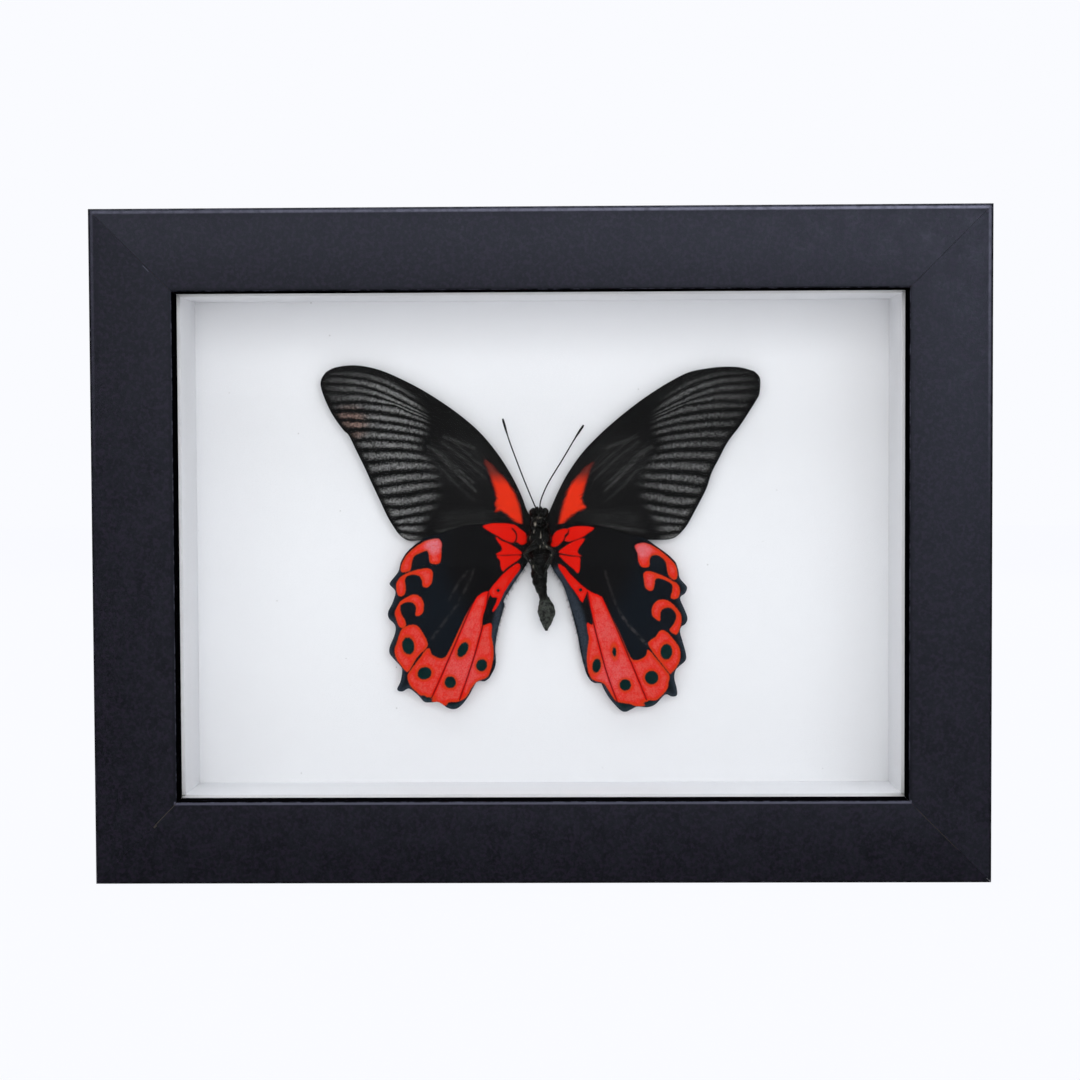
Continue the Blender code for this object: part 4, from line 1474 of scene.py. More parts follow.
HINDWING_SHAPES = {
    Side.LEFT: WingShape(
        costa=(
            (-2.6, 4.0), (-5.0, 4.5), (-9.0, 4.9), (-14.5, 4.6), (-18.0, 4.4), (-21.0, 3.6), (-24.5, 2.4),
            (-27.5, 1.6), (-29.75, 0.3), (-31.8, -1.3), (-32.9, -2.5),
        ),
        outer=(
            (-32.9, -2.5), (-34.0, -4.4), (-34.5, -6.4), (-35.1, -7.4), (-36.5, -9.1), (-36.75, -9.9),
            (-35.6, -11.1), (-35.4, -12.1), (-36.1, -14.25), (-37.2, -16.5), (-37.0, -18.0), (-35.7, -19.4),
            (-35.4, -20.7), (-35.8, -22.4), (-36.75, -24.6), (-36.95, -26.3), (-35.9, -27.8),
            (-34.2, -29.7), (-33.9, -30.8), (-34.3, -33.2), (-35.15, -35.2), (-33.9, -35.7), (-32.2, -35.0),
            (-30.1, -36.6), (-28.6, -38.2), (-27.0, -38.35), (-25.1, -38.3), (-23.1, -39.6), (-21.5, -40.0),
            (-20.0, -39.4), (-18.25, -37.4), (-16.8, -34.7), (-16.1, -33.6), (-15.1, -33.2), (-14.0, -33.3),
            (-12.9, -32.6),
        ),
        inner=(
            (-2.6, -3.4), (-4.5, -6.3), (-6.1, -8.6), (-7.9, -11.4), (-8.9, -13.0), (-9.35, -14.1),
            (-9.1, -15.0), (-9.5, -16.4), (-10.75, -20.8), (-11.4, -24.9), (-11.3, -28.3), (-11.6, -30.2),
            (-12.9, -32.6),
        ),
    ),
    Side.RIGHT: WingShape(
        costa=(
            (1.2, 4.0), (4.0, 4.5), (9.6, 4.6), (13.5, 4.1), (16.4, 3.5), (18.9, 2.6), (24.5, 1.0),
            (25.6, 0.5), (27.2, -0.66), (30.0, -2.7), (31.4, -4.0),
        ),
        outer=(
            (31.4, -4.0), (32.2, -5.0), (32.8, -7.0), (33.1, -8.6), (34.7, -10.5), (34.75, -11.4),
            (34.2, -12.4), (33.4, -12.9), (33.2, -13.8), (34.2, -16.1), (34.9, -18.2), (34.4, -19.6),
            (33.4, -20.3), (33.1, -21.5), (33.75, -23.9), (34.5, -26.75), (34.4, -28.4), (32.8, -29.9),
            (32.0, -30.8), (31.7, -32.6), (32.3, -35.2), (32.3, -36.8), (31.1, -37.1), (30.0, -36.6),
            (29.1, -36.9), (27.2, -38.9), (25.3, -39.65), (22.8, -39.5), (21.25, -40.2), (20.0, -40.75),
            (18.75, -40.4), (16.9, -38.5), (15.9, -37.1), (15.2, -35.3), (14.4, -34.1), (13.4, -33.8),
            (12.5, -33.8), (11.6, -33.3),
        ),
        inner=(
            (1.2, -3.4), (2.8, -6.75), (4.7, -9.6), (5.6, -11.75), (7.0, -16.4), (8.4, -22.1), (9.2, -26.4),
            (10.2, -30.5), (10.8, -32.1), (11.6, -33.3),
        ),
    ),
}


@dataclass(frozen=True)
class RedMarks:
    """The red patches of one hindwing's underside, with the dark spots and veins that break them."""

    patches: tuple[tuple[Pair, ...], ...]
    bands: tuple[tuple[Pair, ...], ...]
    spots: tuple[tuple[float, float, float, float, float], ...]
    veins: tuple[tuple[Pair, ...], ...]
    gaps: tuple[tuple[tuple[Pair, ...], float], ...]
    faint: tuple[tuple[Pair, ...], ...]
    pale: tuple[tuple[float, float, float, float], ...]


HINDWING_MARKS = {
    Side.LEFT: RedMarks(
        patches=(
            (
                (-25.1, 1.1), (-24.2, 0.1), (-24.25, -1.4), (-24.6, -4.6), (-26.4, -4.9), (-27.1, -4.25),
                (-27.25, -2.7), (-27.7, -1.75), (-28.9, -2.1), (-30.75, -3.0), (-31.4, -4.6), (-31.8, -6.4),
                (-33.25, -6.9), (-34.0, -6.6), (-33.9, -5.3), (-32.9, -3.2), (-31.4, -1.6), (-29.5, -0.2),
                (-27.6, 0.75),
            ),
            (
                (-34.0, -8.0), (-32.3, -7.1), (-30.1, -6.3), (-27.6, -6.0), (-26.5, -6.7), (-26.4, -8.0),
                (-26.7, -9.6), (-27.8, -10.6), (-28.8, -10.2), (-29.0, -8.8), (-29.7, -7.8), (-31.1, -7.5),
                (-32.6, -7.9), (-33.1, -8.8), (-32.9, -10.5), (-33.1, -12.1), (-33.9, -12.7),
                (-34.75, -12.4), (-35.1, -11.1), (-35.1, -9.6),
            ),
            (
                (-33.25, -13.3), (-31.4, -12.4), (-30.0, -12.5), (-28.9, -13.6), (-28.6, -15.2),
                (-28.9, -16.75), (-30.0, -17.5), (-30.6, -17.1), (-30.4, -15.5), (-31.1, -14.4),
                (-32.3, -14.1), (-33.9, -14.6), (-34.3, -15.5), (-34.0, -17.1), (-33.25, -18.3),
                (-32.9, -19.6), (-33.6, -20.3), (-34.5, -20.0), (-35.1, -18.6), (-35.6, -16.75),
                (-35.1, -15.5), (-34.3, -14.1),
            ),
            (
                (-32.9, -20.0), (-31.4, -19.6), (-30.0, -20.0), (-28.4, -22.4), (-27.8, -23.9),
                (-27.9, -25.0), (-30.3, -27.5), (-32.3, -30.8), (-33.25, -30.5), (-35.1, -28.0),
                (-35.7, -25.8), (-35.1, -23.9), (-34.2, -21.1),
            ),
            (
                (-27.6, -25.2), (-26.7, -26.75), (-25.4, -27.5), (-24.0, -27.7), (-22.9, -26.6),
                (-21.1, -23.0), (-18.9, -18.3), (-16.4, -13.9), (-15.1, -12.4), (-13.25, -11.6),
                (-12.7, -12.4), (-13.1, -13.6), (-13.6, -15.5), (-14.3, -17.4), (-14.5, -19.6),
                (-13.9, -19.7), (-12.3, -19.4), (-12.3, -22.4), (-11.9, -25.0), (-11.9, -27.5),
                (-12.4, -30.0), (-13.4, -32.3), (-15.6, -33.2), (-17.0, -34.6), (-18.6, -37.2),
                (-20.6, -38.2), (-22.6, -38.3), (-23.6, -39.2), (-25.0, -38.4), (-26.6, -38.2),
                (-28.4, -36.7), (-29.5, -36.6), (-30.75, -35.5), (-32.0, -34.25), (-32.6, -32.4),
                (-32.3, -31.1), (-29.9, -28.0),
            ),
            (
                (-5.75, -4.9), (-5.3, -6.1), (-7.0, -8.5), (-8.9, -11.3), (-9.8, -13.2), (-10.75, -15.1),
                (-11.7, -16.4), (-12.0, -16.1), (-11.1, -14.25), (-10.95, -13.1), (-12.0, -13.0),
                (-12.8, -11.75), (-12.3, -10.8), (-10.75, -8.9), (-8.9, -7.0), (-7.0, -5.5),
            ),
            (
                (-14.25, 4.0), (-13.0, 4.5), (-11.75, 4.8), (-9.5, 4.75), (-7.75, 4.6), (-6.5, 4.3),
                (-5.25, 3.4), (-3.9, 2.2), (-3.7, 0.2), (-5.0, -0.4), (-6.0, 0.25), (-7.0, 0.1),
                (-8.25, 0.4), (-9.5, 1.0), (-10.75, 1.75), (-12.5, 2.75),
            ),
            (
                (-11.2, 1.5), (-9.8, 0.6), (-7.9, -0.2), (-6.4, -1.1), (-5.0, -2.2), (-5.2, -2.7),
                (-7.3, -2.75), (-9.5, -2.85), (-11.1, -2.7), (-9.7, -1.8), (-9.8, -0.8), (-10.4, 0.1),
            ),
            (
                (-10.9, -3.1), (-8.9, -3.1), (-5.3, -3.0), (-5.6, -3.9), (-7.6, -5.3), (-8.9, -6.3),
                (-9.5, -6.75), (-10.0, -5.5), (-10.1, -4.25),
            ),
        ),
        bands=(
            ((-6.0, -7.0), (-9.2, -13.6), (-10.3, -17.5), (-11.4, -22.5), (-11.7, -27.0)),
        ),
        spots=(
            (-32.4, -24.7, 1.5, 2.1, 0.15), (-28.5, -31.3, 1.75, 1.5, 0.3), (-19.2, -25.6, 1.15, 2.0, -0.5),
            (-22.3, -33.5, 1.4, 1.45, 0.0), (-14.7, -29.4, 1.35, 1.5, -0.3),
            (-10.6, -11.4, 0.42, 0.42, 0.0), (-28.1, -37.9, 1.5, 0.75, 0.3), (-20.6, -39.5, 2.0, 0.75, 0.1),
        ),
        veins=(
            ((-16.1, -13.0), (-18.8, -19.0), (-21.5, -25.3), (-24.0, -31.0), (-26.8, -37.2)),
            ((-13.0, -12.0), (-14.1, -18.6), (-16.1, -26.0), (-17.9, -31.6), (-20.1, -37.8)),
        ),
        faint=(
            ((-26.7, -23.0), (-23.4, -18.6), (-20.4, -14.6), (-17.8, -9.6), (-16.4, -6.2)),
            ((-22.4, -13.6), (-20.2, -9.6), (-18.0, -6.9)),
        ),
        gaps=(
            (((-27.0, -24.0), (-29.8, -27.6), (-32.7, -31.5)), 0.12),
            (((-7.25, 3.5), (-6.5, 2.75), (-6.1, 1.75), (-6.25, 0.75), (-6.75, 0.1)), 0.20),
        ),
        pale=((-26.2, -0.4, 3.0, 0.95), (-19.0, -29.6, 6.5, 0.16), (-17.5, -20.0, 4.5, 0.08)),
    ),
    Side.RIGHT: RedMarks(
        patches=(
            (
                (22.3, -0.8), (23.75, -0.1), (25.0, -0.2), (26.6, -0.8), (28.1, -1.75), (30.0, -3.3),
                (31.6, -4.9), (32.3, -6.1), (32.5, -7.7), (32.2, -8.8), (31.25, -8.8), (30.3, -7.7),
                (30.0, -6.1), (29.7, -4.7), (28.75, -3.6), (27.5, -3.0), (26.25, -3.3), (25.8, -4.25),
                (25.8, -5.5), (25.0, -6.0), (23.75, -5.7), (23.1, -4.25), (23.0, -2.7),
            ),
            (
                (24.4, -7.4), (25.6, -6.9), (27.5, -7.4), (29.4, -8.2), (31.25, -9.25), (32.5, -10.0),
                (33.1, -11.4), (32.8, -13.0), (31.9, -13.6), (30.9, -13.3), (31.25, -11.75), (31.25, -10.2),
                (30.0, -9.25), (28.1, -8.6), (27.2, -8.9), (27.0, -10.2), (26.6, -11.3), (25.8, -11.6),
                (24.8, -10.8), (24.5, -9.25),
            ),
            (
                (28.1, -13.8), (29.7, -13.8), (31.25, -14.7), (32.5, -16.1), (33.3, -17.4), (33.4, -19.25),
                (33.0, -20.8), (32.3, -22.1), (31.25, -21.75), (30.6, -21.0), (31.6, -19.6), (32.2, -18.0),
                (31.9, -16.75), (30.8, -15.7), (29.4, -15.8), (28.4, -16.75), (28.3, -18.8), (27.2, -18.3),
                (26.4, -17.4), (26.4, -15.8), (27.0, -14.6),
            ),
            (
                (28.1, -21.4), (29.1, -21.1), (30.2, -21.75), (31.25, -23.0), (32.5, -24.6), (33.1, -26.1),
                (33.1, -28.0), (32.5, -29.6), (31.6, -30.8), (30.5, -31.75), (29.7, -31.1), (27.5, -27.7),
                (25.5, -24.6), (25.9, -23.6), (27.2, -22.7),
            ),
            (
                (25.5, -25.8), (25.0, -27.0), (23.75, -28.0), (22.2, -28.3), (21.25, -27.7), (20.3, -25.8),
                (18.4, -21.4), (16.6, -17.7), (14.7, -13.6), (13.75, -12.7), (11.9, -11.9), (10.8, -11.4),
                (11.0, -13.0), (11.5, -15.5), (12.1, -18.4), (12.0, -19.8), (10.8, -19.25), (10.9, -21.5),
                (11.2, -23.0), (10.9, -25.2), (10.7, -27.7), (10.9, -30.5), (11.6, -32.4), (12.5, -33.2),
                (14.7, -33.9), (15.9, -35.6), (17.6, -38.1), (19.5, -38.6), (21.2, -38.9), (22.6, -39.4),
                (24.5, -39.3), (25.5, -38.0), (27.2, -38.0), (28.75, -36.75), (30.0, -35.2), (30.3, -33.6),
                (30.5, -32.0), (28.4, -29.2),
            ),
            (
                (3.9, -5.1), (5.25, -5.75), (6.5, -7.25), (8.0, -8.75), (9.5, -10.25), (10.75, -11.25),
                (10.5, -12.5), (10.0, -13.6), (9.5, -14.2), (8.0, -11.9), (6.5, -9.9), (5.25, -7.9),
                (4.2, -6.3),
            ),
            (
                (2.0, -0.5), (2.4, 1.2), (3.4, 2.7), (5.25, 3.4), (6.1, 3.2), (6.25, 2.5), (5.5, 2.0),
                (5.25, 1.0), (4.5, 0.0), (3.2, -0.9),
            ),
            (
                (6.0, 3.25), (7.5, 3.85), (9.5, 4.0), (11.5, 3.85), (12.5, 3.4), (11.0, 2.25), (9.5, 1.25),
                (8.0, 0.75), (6.5, 0.3), (5.4, 0.6), (5.9, 1.5), (6.5, 2.25),
            ),
            (
                (4.0, -2.1), (5.5, -0.9), (7.0, 0.0), (8.75, 0.75), (10.25, 1.0), (9.75, 0.0), (9.0, -1.0),
                (8.5, -2.0), (9.0, -2.9), (9.5, -3.2), (7.0, -2.95), (4.6, -2.5),
            ),
            (
                (4.2, -2.9), (7.0, -3.3), (9.0, -3.5), (9.1, -5.0), (9.0, -6.5), (8.5, -7.25), (7.5, -6.25),
                (6.0, -5.0), (5.0, -4.0),
            ),
        ),
        bands=(
            ((3.6, -7.0), (5.6, -11.0), (8.0, -15.5), (9.3, -20.0), (10.0, -25.0), (10.4, -29.0)),
        ),
        spots=(
            (29.8, -26.3, 1.45, 1.9, -0.1), (26.25, -32.5, 1.65, 1.65, 0.0), (17.3, -26.3, 0.5, 1.2, 0.1),
            (19.9, -34.25, 1.4, 1.4, 0.0), (13.0, -29.6, 1.05, 1.75, -0.15), (9.2, -11.3, 0.42, 0.42, 0.0),
            (25.9, -39.0, 1.6, 0.7, -0.2), (19.0, -39.9, 2.0, 0.9, -0.2),
        ),
        veins=(
            ((14.8, -13.6), (17.8, -20.4), (20.6, -27.1), (22.8, -32.4), (25.0, -37.8)),
            ((10.9, -11.9), (12.0, -18.0), (14.6, -28.4), (16.2, -33.6), (18.0, -38.4)),
        ),
        faint=(
            ((25.2, -24.7), (22.2, -21.4), (19.4, -18.0), (16.9, -12.8), (15.2, -7.0)),
            ((25.2, -24.7), (22.2, -21.4), (19.4, -18.0)),
        ),
        gaps=(
            (((25.0, -24.6), (27.9, -28.3), (31.0, -32.3)), 0.12),
            (((5.2, 0.4), (5.6, 1.4), (6.2, 2.3), (6.4, 3.0)), 0.16),
        ),
        pale=((24.3, -1.8, 2.8, 0.75), (16.8, -31.5, 6.5, 0.2), (15.5, -21.0, 5.0, 0.14),
              (25.4, -9.5, 2.2, 0.15)),
    ),
}


@dataclass
class Hindwing(Wing):
    """A hindwing seen from below: a scalloped black sheet with red patches, spots and veins."""

    root_mm: Pair = (-0.6, 0.0)
    pink_out: Pair = (8.0, 21.0)
    outer_out: Pair = (20.0, 28.0)
    band_fade: Pair = (1.9, 0.4)
    margin_fade: Pair = (1.3, 0.2)
    vein_fade: Pair = (0.55, 0.1)
    roll_fade: Pair = (1.8, 0.0)
    far_off: float = 9.0

    def nearest(self, spots: np.ndarray, lines: Sequence) -> np.ndarray:
        """The distance from each point to the nearest of some smooth lines."""
        best = np.full(len(spots), self.far_off)
        for line in lines:
            best = np.minimum(best, line_distance(spots, smooth_path(line, 5)))
        return best

    def markings(self, spots: np.ndarray) -> dict[str, np.ndarray]:
        """The wing's values.

        Args:
            spots: its points, in millimetres.

        Returns:
            Distances to the red and to the veins, and shares of pink, pale, orange and grey, by name.
        """
        marks = HINDWING_MARKS[self.side]
        red = np.full(len(spots), -self.far_off)
        for patch in marks.patches:
            red = np.maximum(red, inside_distance(spots, smooth_path(patch, 4, closed=True)))
        spot = np.zeros(len(spots))
        for x, up, wide, tall, turn in marks.spots:
            moved = spots - np.array([x, up])
            across = moved[:, 0] * math.cos(turn) + moved[:, 1] * math.sin(turn)
            along = moved[:, 1] * math.cos(turn) - moved[:, 0] * math.sin(turn)
            clear = (np.hypot(across / wide, along / tall) - 1.0) * min(wide, tall)
            red = np.minimum(red, clear)
            spot = np.maximum(spot, smooth_step(clear, 0.3, 0.0))
        for line, half_width in marks.gaps:
            red = np.minimum(red, line_distance(spots, smooth_path(line, 5)) - half_width)
        faint = np.zeros(len(spots))
        for line in marks.faint:
            faint += 0.36 * smooth_step(line_distance(spots, smooth_path(line, 5)), 0.6, 0.1)
        out = np.hypot(*(spots - np.array(self.root_mm)).T)
        pale = np.zeros(len(spots))
        for x, up, reach, share in marks.pale:
            near = reach - np.hypot(spots[:, 0] - x, spots[:, 1] - up)
            pale = np.maximum(pale, share * smooth_step(near, 0.0, 0.7 * reach))
        outer_margin = smooth_step(line_distance(spots, smooth_path(self.shape.outer, 5)), *self.margin_fade)
        behind = smooth_step(-spots[:, 1], 0.0, 12.0)
        return {
            "red": red,
            "vein": self.nearest(spots, marks.veins),
            "faint": faint,
            "spot": spot,
            "pink": smooth_step(out, *self.pink_out) * smooth_step(red, 0.15, 1.2),
            "pale": pale,
            "outer": smooth_step(out, *self.outer_out),
            "band": np.maximum(
                smooth_step(self.nearest(spots, marks.bands), *self.band_fade), 0.7 * outer_margin * behind
            ),
            "inner": line_distance(spots, smooth_path(self.shape.inner, 5)),
        }

    def relief(self, spots: np.ndarray, values: dict[str, np.ndarray]) -> np.ndarray:
        """Wave the sheet, raise its veins, and roll its inner margin back."""
        wave = 0.6 * self.lift * ripple(spots, 26.0, SEED + 4 + self.side.value)
        veins = 0.06 * MM * smooth_step(values["vein"], *self.vein_fade)
        rolled = -0.5 * MM * smooth_step(values["inner"], *self.roll_fade)
        return wave + veins + rolled


# ---------------------------------------------------------------- the body


@dataclass
class Body:
    """Head, thorax, abdomen and claspers, seen from below, with the palps, the eyes and a coiled tongue."""

    node: str = "butterfly_body"
    sides: int = 28
    # across, up, radius across, radius front to back, all in millimetres
    abdomen: tuple = (
        (-0.7, -2.6, 2.5, 2.7), (-0.7, -4.2, 2.25, 2.5), (-0.75, -6.0, 2.0, 2.3), (-0.7, -8.0, 1.95, 2.2),
        (-0.5, -9.8, 1.65, 1.9), (-0.1, -11.4, 1.3, 1.5), (0.25, -12.8, 1.0, 1.2), (0.5, -13.8, 1.05, 1.2),
    )
    claspers: tuple = (
        (
            (0.5, -13.4, 0.9, 1.0), (0.35, -14.8, 1.25, 1.3), (0.25, -16.4, 1.35, 1.4),
            (0.5, -18.2, 1.15, 1.2), (0.8, -19.8, 0.75, 0.8), (1.0, -21.1, 0.25, 0.3),
        ),
        (
            (0.7, -13.4, 0.9, 1.0), (1.4, -14.8, 1.1, 1.25), (1.9, -16.4, 1.2, 1.35),
            (1.75, -18.0, 1.0, 1.15), (1.35, -19.6, 0.6, 0.75), (1.1, -20.8, 0.2, 0.3),
        ),
    )
    # across, front to back, up, then the three radii, all in millimetres
    lobes: tuple = (
        (-0.6, 0.1, 1.1, 2.95, 2.9, 3.6), (-1.7, -1.1, 1.6, 1.5, 1.5, 2.3), (0.6, -1.1, 1.4, 1.5, 1.5, 2.2),
        (-1.6, -0.9, -1.6, 1.4, 1.5, 1.8), (0.4, -0.9, -1.7, 1.4, 1.5, 1.8),
        (-0.7, -0.1, 4.9, 2.0, 2.1, 1.6), (-0.7, 0.0, 6.9, 1.75, 1.8, 1.45),
        (-2.05, -0.1, 7.2, 0.95, 1.15, 1.2), (0.65, -0.1, 7.3, 0.95, 1.15, 1.2),
        (-1.15, -1.2, 7.6, 0.5, 0.7, 1.1), (-0.25, -1.2, 7.7, 0.5, 0.7, 1.1),
    )

    def __post_init__(self) -> None:
        """Find the depth of the body's axis."""
        self.axis_y = middle_of(self.node).y

    def at(self, across: float, up: float, back_mm: float = 0.0) -> Vector:
        """A point from the body's axis, back_mm behind it."""
        return in_window(across, self.axis_y + back_mm * MM, up)

    def build(self, finish: Finish) -> bpy.types.Object:
        """Build the body as one piece.

        Args:
            finish: its finish.

        Returns:
            The finished body.
        """
        bm = bmesh.new()
        self.add_abdomen(bm)
        for clasper in self.claspers:
            path = smooth_path(clasper, 5)
            points = [self.at(x, up) for x, up, _, _ in path]
            sweep(bm, points, [(wide * MM, deep * MM) for _, _, wide, deep in path], self.sides)
        for across, back, up, wide, deep, tall in self.lobes:
            size = Matrix.Diagonal((wide * MM, deep * MM, tall * MM, 1.0))
            place = Matrix.Translation(self.at(across, up, back)) @ size
            bmesh.ops.create_uvsphere(
                bm, u_segments=self.sides, v_segments=self.sides // 2, radius=1.0, matrix=place
            )
        self.add_tongue(bm)
        close_up(bm)
        self.roughen(bm)
        spots = np.array([v.co for v in bm.verts])
        piece = finish_mesh(self.node + "_skin", bm, finish, 60.0)
        up = (spots[:, 2] - CENTRE_Z) / MM
        tip = smooth_step(up, -12.5, -14.5)
        set_values(piece.data, "dusting", np.maximum(0.6 * tip, 0.03))
        return hand_over(piece, Slot.CHITIN, self.node)

    def add_abdomen(self, bm: bmesh.types.BMesh) -> None:
        """Sweep the abdomen, drawn in a little where its segments meet."""
        path = smooth_path(self.abdomen, 8)
        points = [self.at(x, up) for x, up, _, _ in path]
        radii = []
        for _, up, wide, deep in path:
            pinch = 1.0 - 0.07 * max(math.cos(2 * math.pi * up / 1.7), 0.0) ** 4
            radii.append((wide * MM * pinch, deep * MM * pinch))
        sweep(bm, points, radii, self.sides)

    def add_tongue(self, bm: bmesh.types.BMesh) -> None:
        """Coil the tongue under the head."""
        turns, steps = 2.5, 48
        points = []
        for i in range(steps + 1):
            share = i / steps
            angle = 2 * math.pi * turns * share
            radius = 0.25 + 0.55 * share
            up, back = 6.2 + radius * math.sin(angle), -2.2 + radius * math.cos(angle)
            points.append(self.at(-0.75 + 0.12 * share, up, back))
        sweep(bm, points, [0.11 * MM] * len(points), 6)

    @staticmethod
    def roughen(bm: bmesh.types.BMesh) -> None:
        """Push every vertex a little along its normal, by crossed waves."""
        bm.normal_update()
        spots = np.array([v.co for v in bm.verts]) / MM
        wave = ripple(spots[:, [0, 2]], 1.5, SEED + 21) + ripple(spots[:, [1, 2]], 0.9, SEED + 22)
        for vert, push in zip(bm.verts, wave):
            vert.co += vert.normal * push * 0.07 * MM


@dataclass
class Limbs:
    """The folded legs and the antennae."""

    # across, up and distance in front of the body's axis along each leg, in millimetres
    legs: dict = field(default_factory=lambda: {
        "leg_front_left": ((-1.3, 3.2, 2.2), (-2.5, 4.6, 2.9), (-1.4, 6.3, 2.6), (-1.0, 4.4, 3.1)),
        "leg_front_right": ((0.1, 3.2, 2.2), (1.3, 4.6, 2.9), (0.2, 6.2, 2.6), (-0.3, 4.2, 3.1)),
        "leg_middle_left": ((-1.3, 0.6, 2.6), (-3.4, -1.4, 2.7), (-3.2, -3.0, 2.6), (-1.3, -5.4, 2.9),
                            (-1.0, -6.2, 2.9)),
        "leg_middle_right": ((0.1, 0.6, 2.6), (2.2, -1.4, 2.7), (2.4, -2.6, 2.6), (0.8, -5.2, 2.9),
                             (0.5, -6.0, 2.9)),
        "leg_hind_left": ((-1.3, -0.8, 2.6), (-3.6, -2.0, 3.2), (-4.0, -2.9, 3.2), (-1.2, -6.8, 3.0),
                          (-0.8, -8.2, 2.9)),
        "leg_hind_right": ((0.2, -0.8, 2.6), (2.5, -1.6, 3.2), (2.7, -2.7, 3.2), (0.9, -6.6, 3.0),
                           (0.6, -7.9, 2.9)),
    })
    antennae: dict = field(default_factory=lambda: {
        "antenna_left": ((-1.4, 8.3), (-2.1, 9.9), (-4.2, 15.0), (-6.1, 20.0), (-7.9, 25.0), (-9.3, 29.8)),
        "antenna_right": ((-0.5, 8.4), (-0.3, 10.0), (0.5, 12.2), (1.9, 15.0), (5.0, 20.0), (8.0, 25.0),
                          (10.1, 28.2)),
    })
    leg_radius: float = 0.30
    antenna_radius: float = 0.17
    club_radius: float = 0.30

    def leg(self, node: str, finish: Finish) -> bpy.types.Object:
        """Build one leg: a stout thigh, a thinner shin and a jointed foot.

        Args:
            node: the CAD node, and the piece's name.
            finish: its finish.

        Returns:
            The finished leg.
        """
        axis_y = middle_of("butterfly_body").y
        path = smooth_path(self.legs[node], 9)
        last = len(path) - 1
        points = [in_window(x, axis_y - out * MM, up) for x, up, out in path]
        radii = []
        for i in range(last + 1):
            share = i / last
            taper = 1.25 - 0.75 * share + 0.18 * math.cos(share * 6 * math.pi)
            radii.append(self.leg_radius * MM * max(taper, 0.35))
        bm = bmesh.new()
        sweep(bm, points, radii, 10)
        for i in range(last // 2, last - 2, 3):
            thorn = (points[i + 1] - points[i]).normalized() + Vector((0.35 * (-1) ** i, -0.6, 0.0))
            tip = points[i] + thorn.normalized() * 0.55 * MM
            sweep(bm, [points[i], tip], [0.05 * MM, 0.012 * MM], 5)
        close_up(bm)
        piece = finish_mesh(node + "_jointed", bm, finish, 60.0)
        dusting = 0.05 if "front" in node else 0.2
        set_values(piece.data, "dusting", np.full(len(piece.data.vertices), dusting))
        return hand_over(piece, Slot.CHITIN, node)

    def antenna(self, node: str, finish: Finish) -> bpy.types.Object:
        """Build one antenna: a beaded thread that swells to a club.

        Args:
            node: the CAD node, and the piece's name.
            finish: its finish.

        Returns:
            The finished antenna.
        """
        axis_y = middle_of(node).y
        steps = 150
        shares = np.linspace(0.0, 1.0, steps)
        path = along_path(self.antennae[node], shares)
        points = [in_window(x, axis_y, up) for x, up in path]
        club = smooth_step(shares, 0.80, 0.93) * (1.0 - 0.6 * smooth_step(shares, 0.96, 1.0))
        radii = self.antenna_radius + (self.club_radius - self.antenna_radius) * club
        beads = 1.0 - 0.14 * (np.arange(steps) % 3 == 0)
        bm = bmesh.new()
        sweep(bm, points, [float(r) * MM for r in radii * beads], 8)
        close_up(bm)
        piece = finish_mesh(node + "_jointed", bm, finish, 60.0)
        set_values(piece.data, "dusting", np.full(len(piece.data.vertices), 0.1))
        return hand_over(piece, Slot.CHITIN, node)

    def build(self, finish: Finish) -> None:
        """Build the legs and the antennae."""
        for node in self.legs:
            self.leg(node, finish)
        for node in self.antennae:
            self.antenna(node, finish)


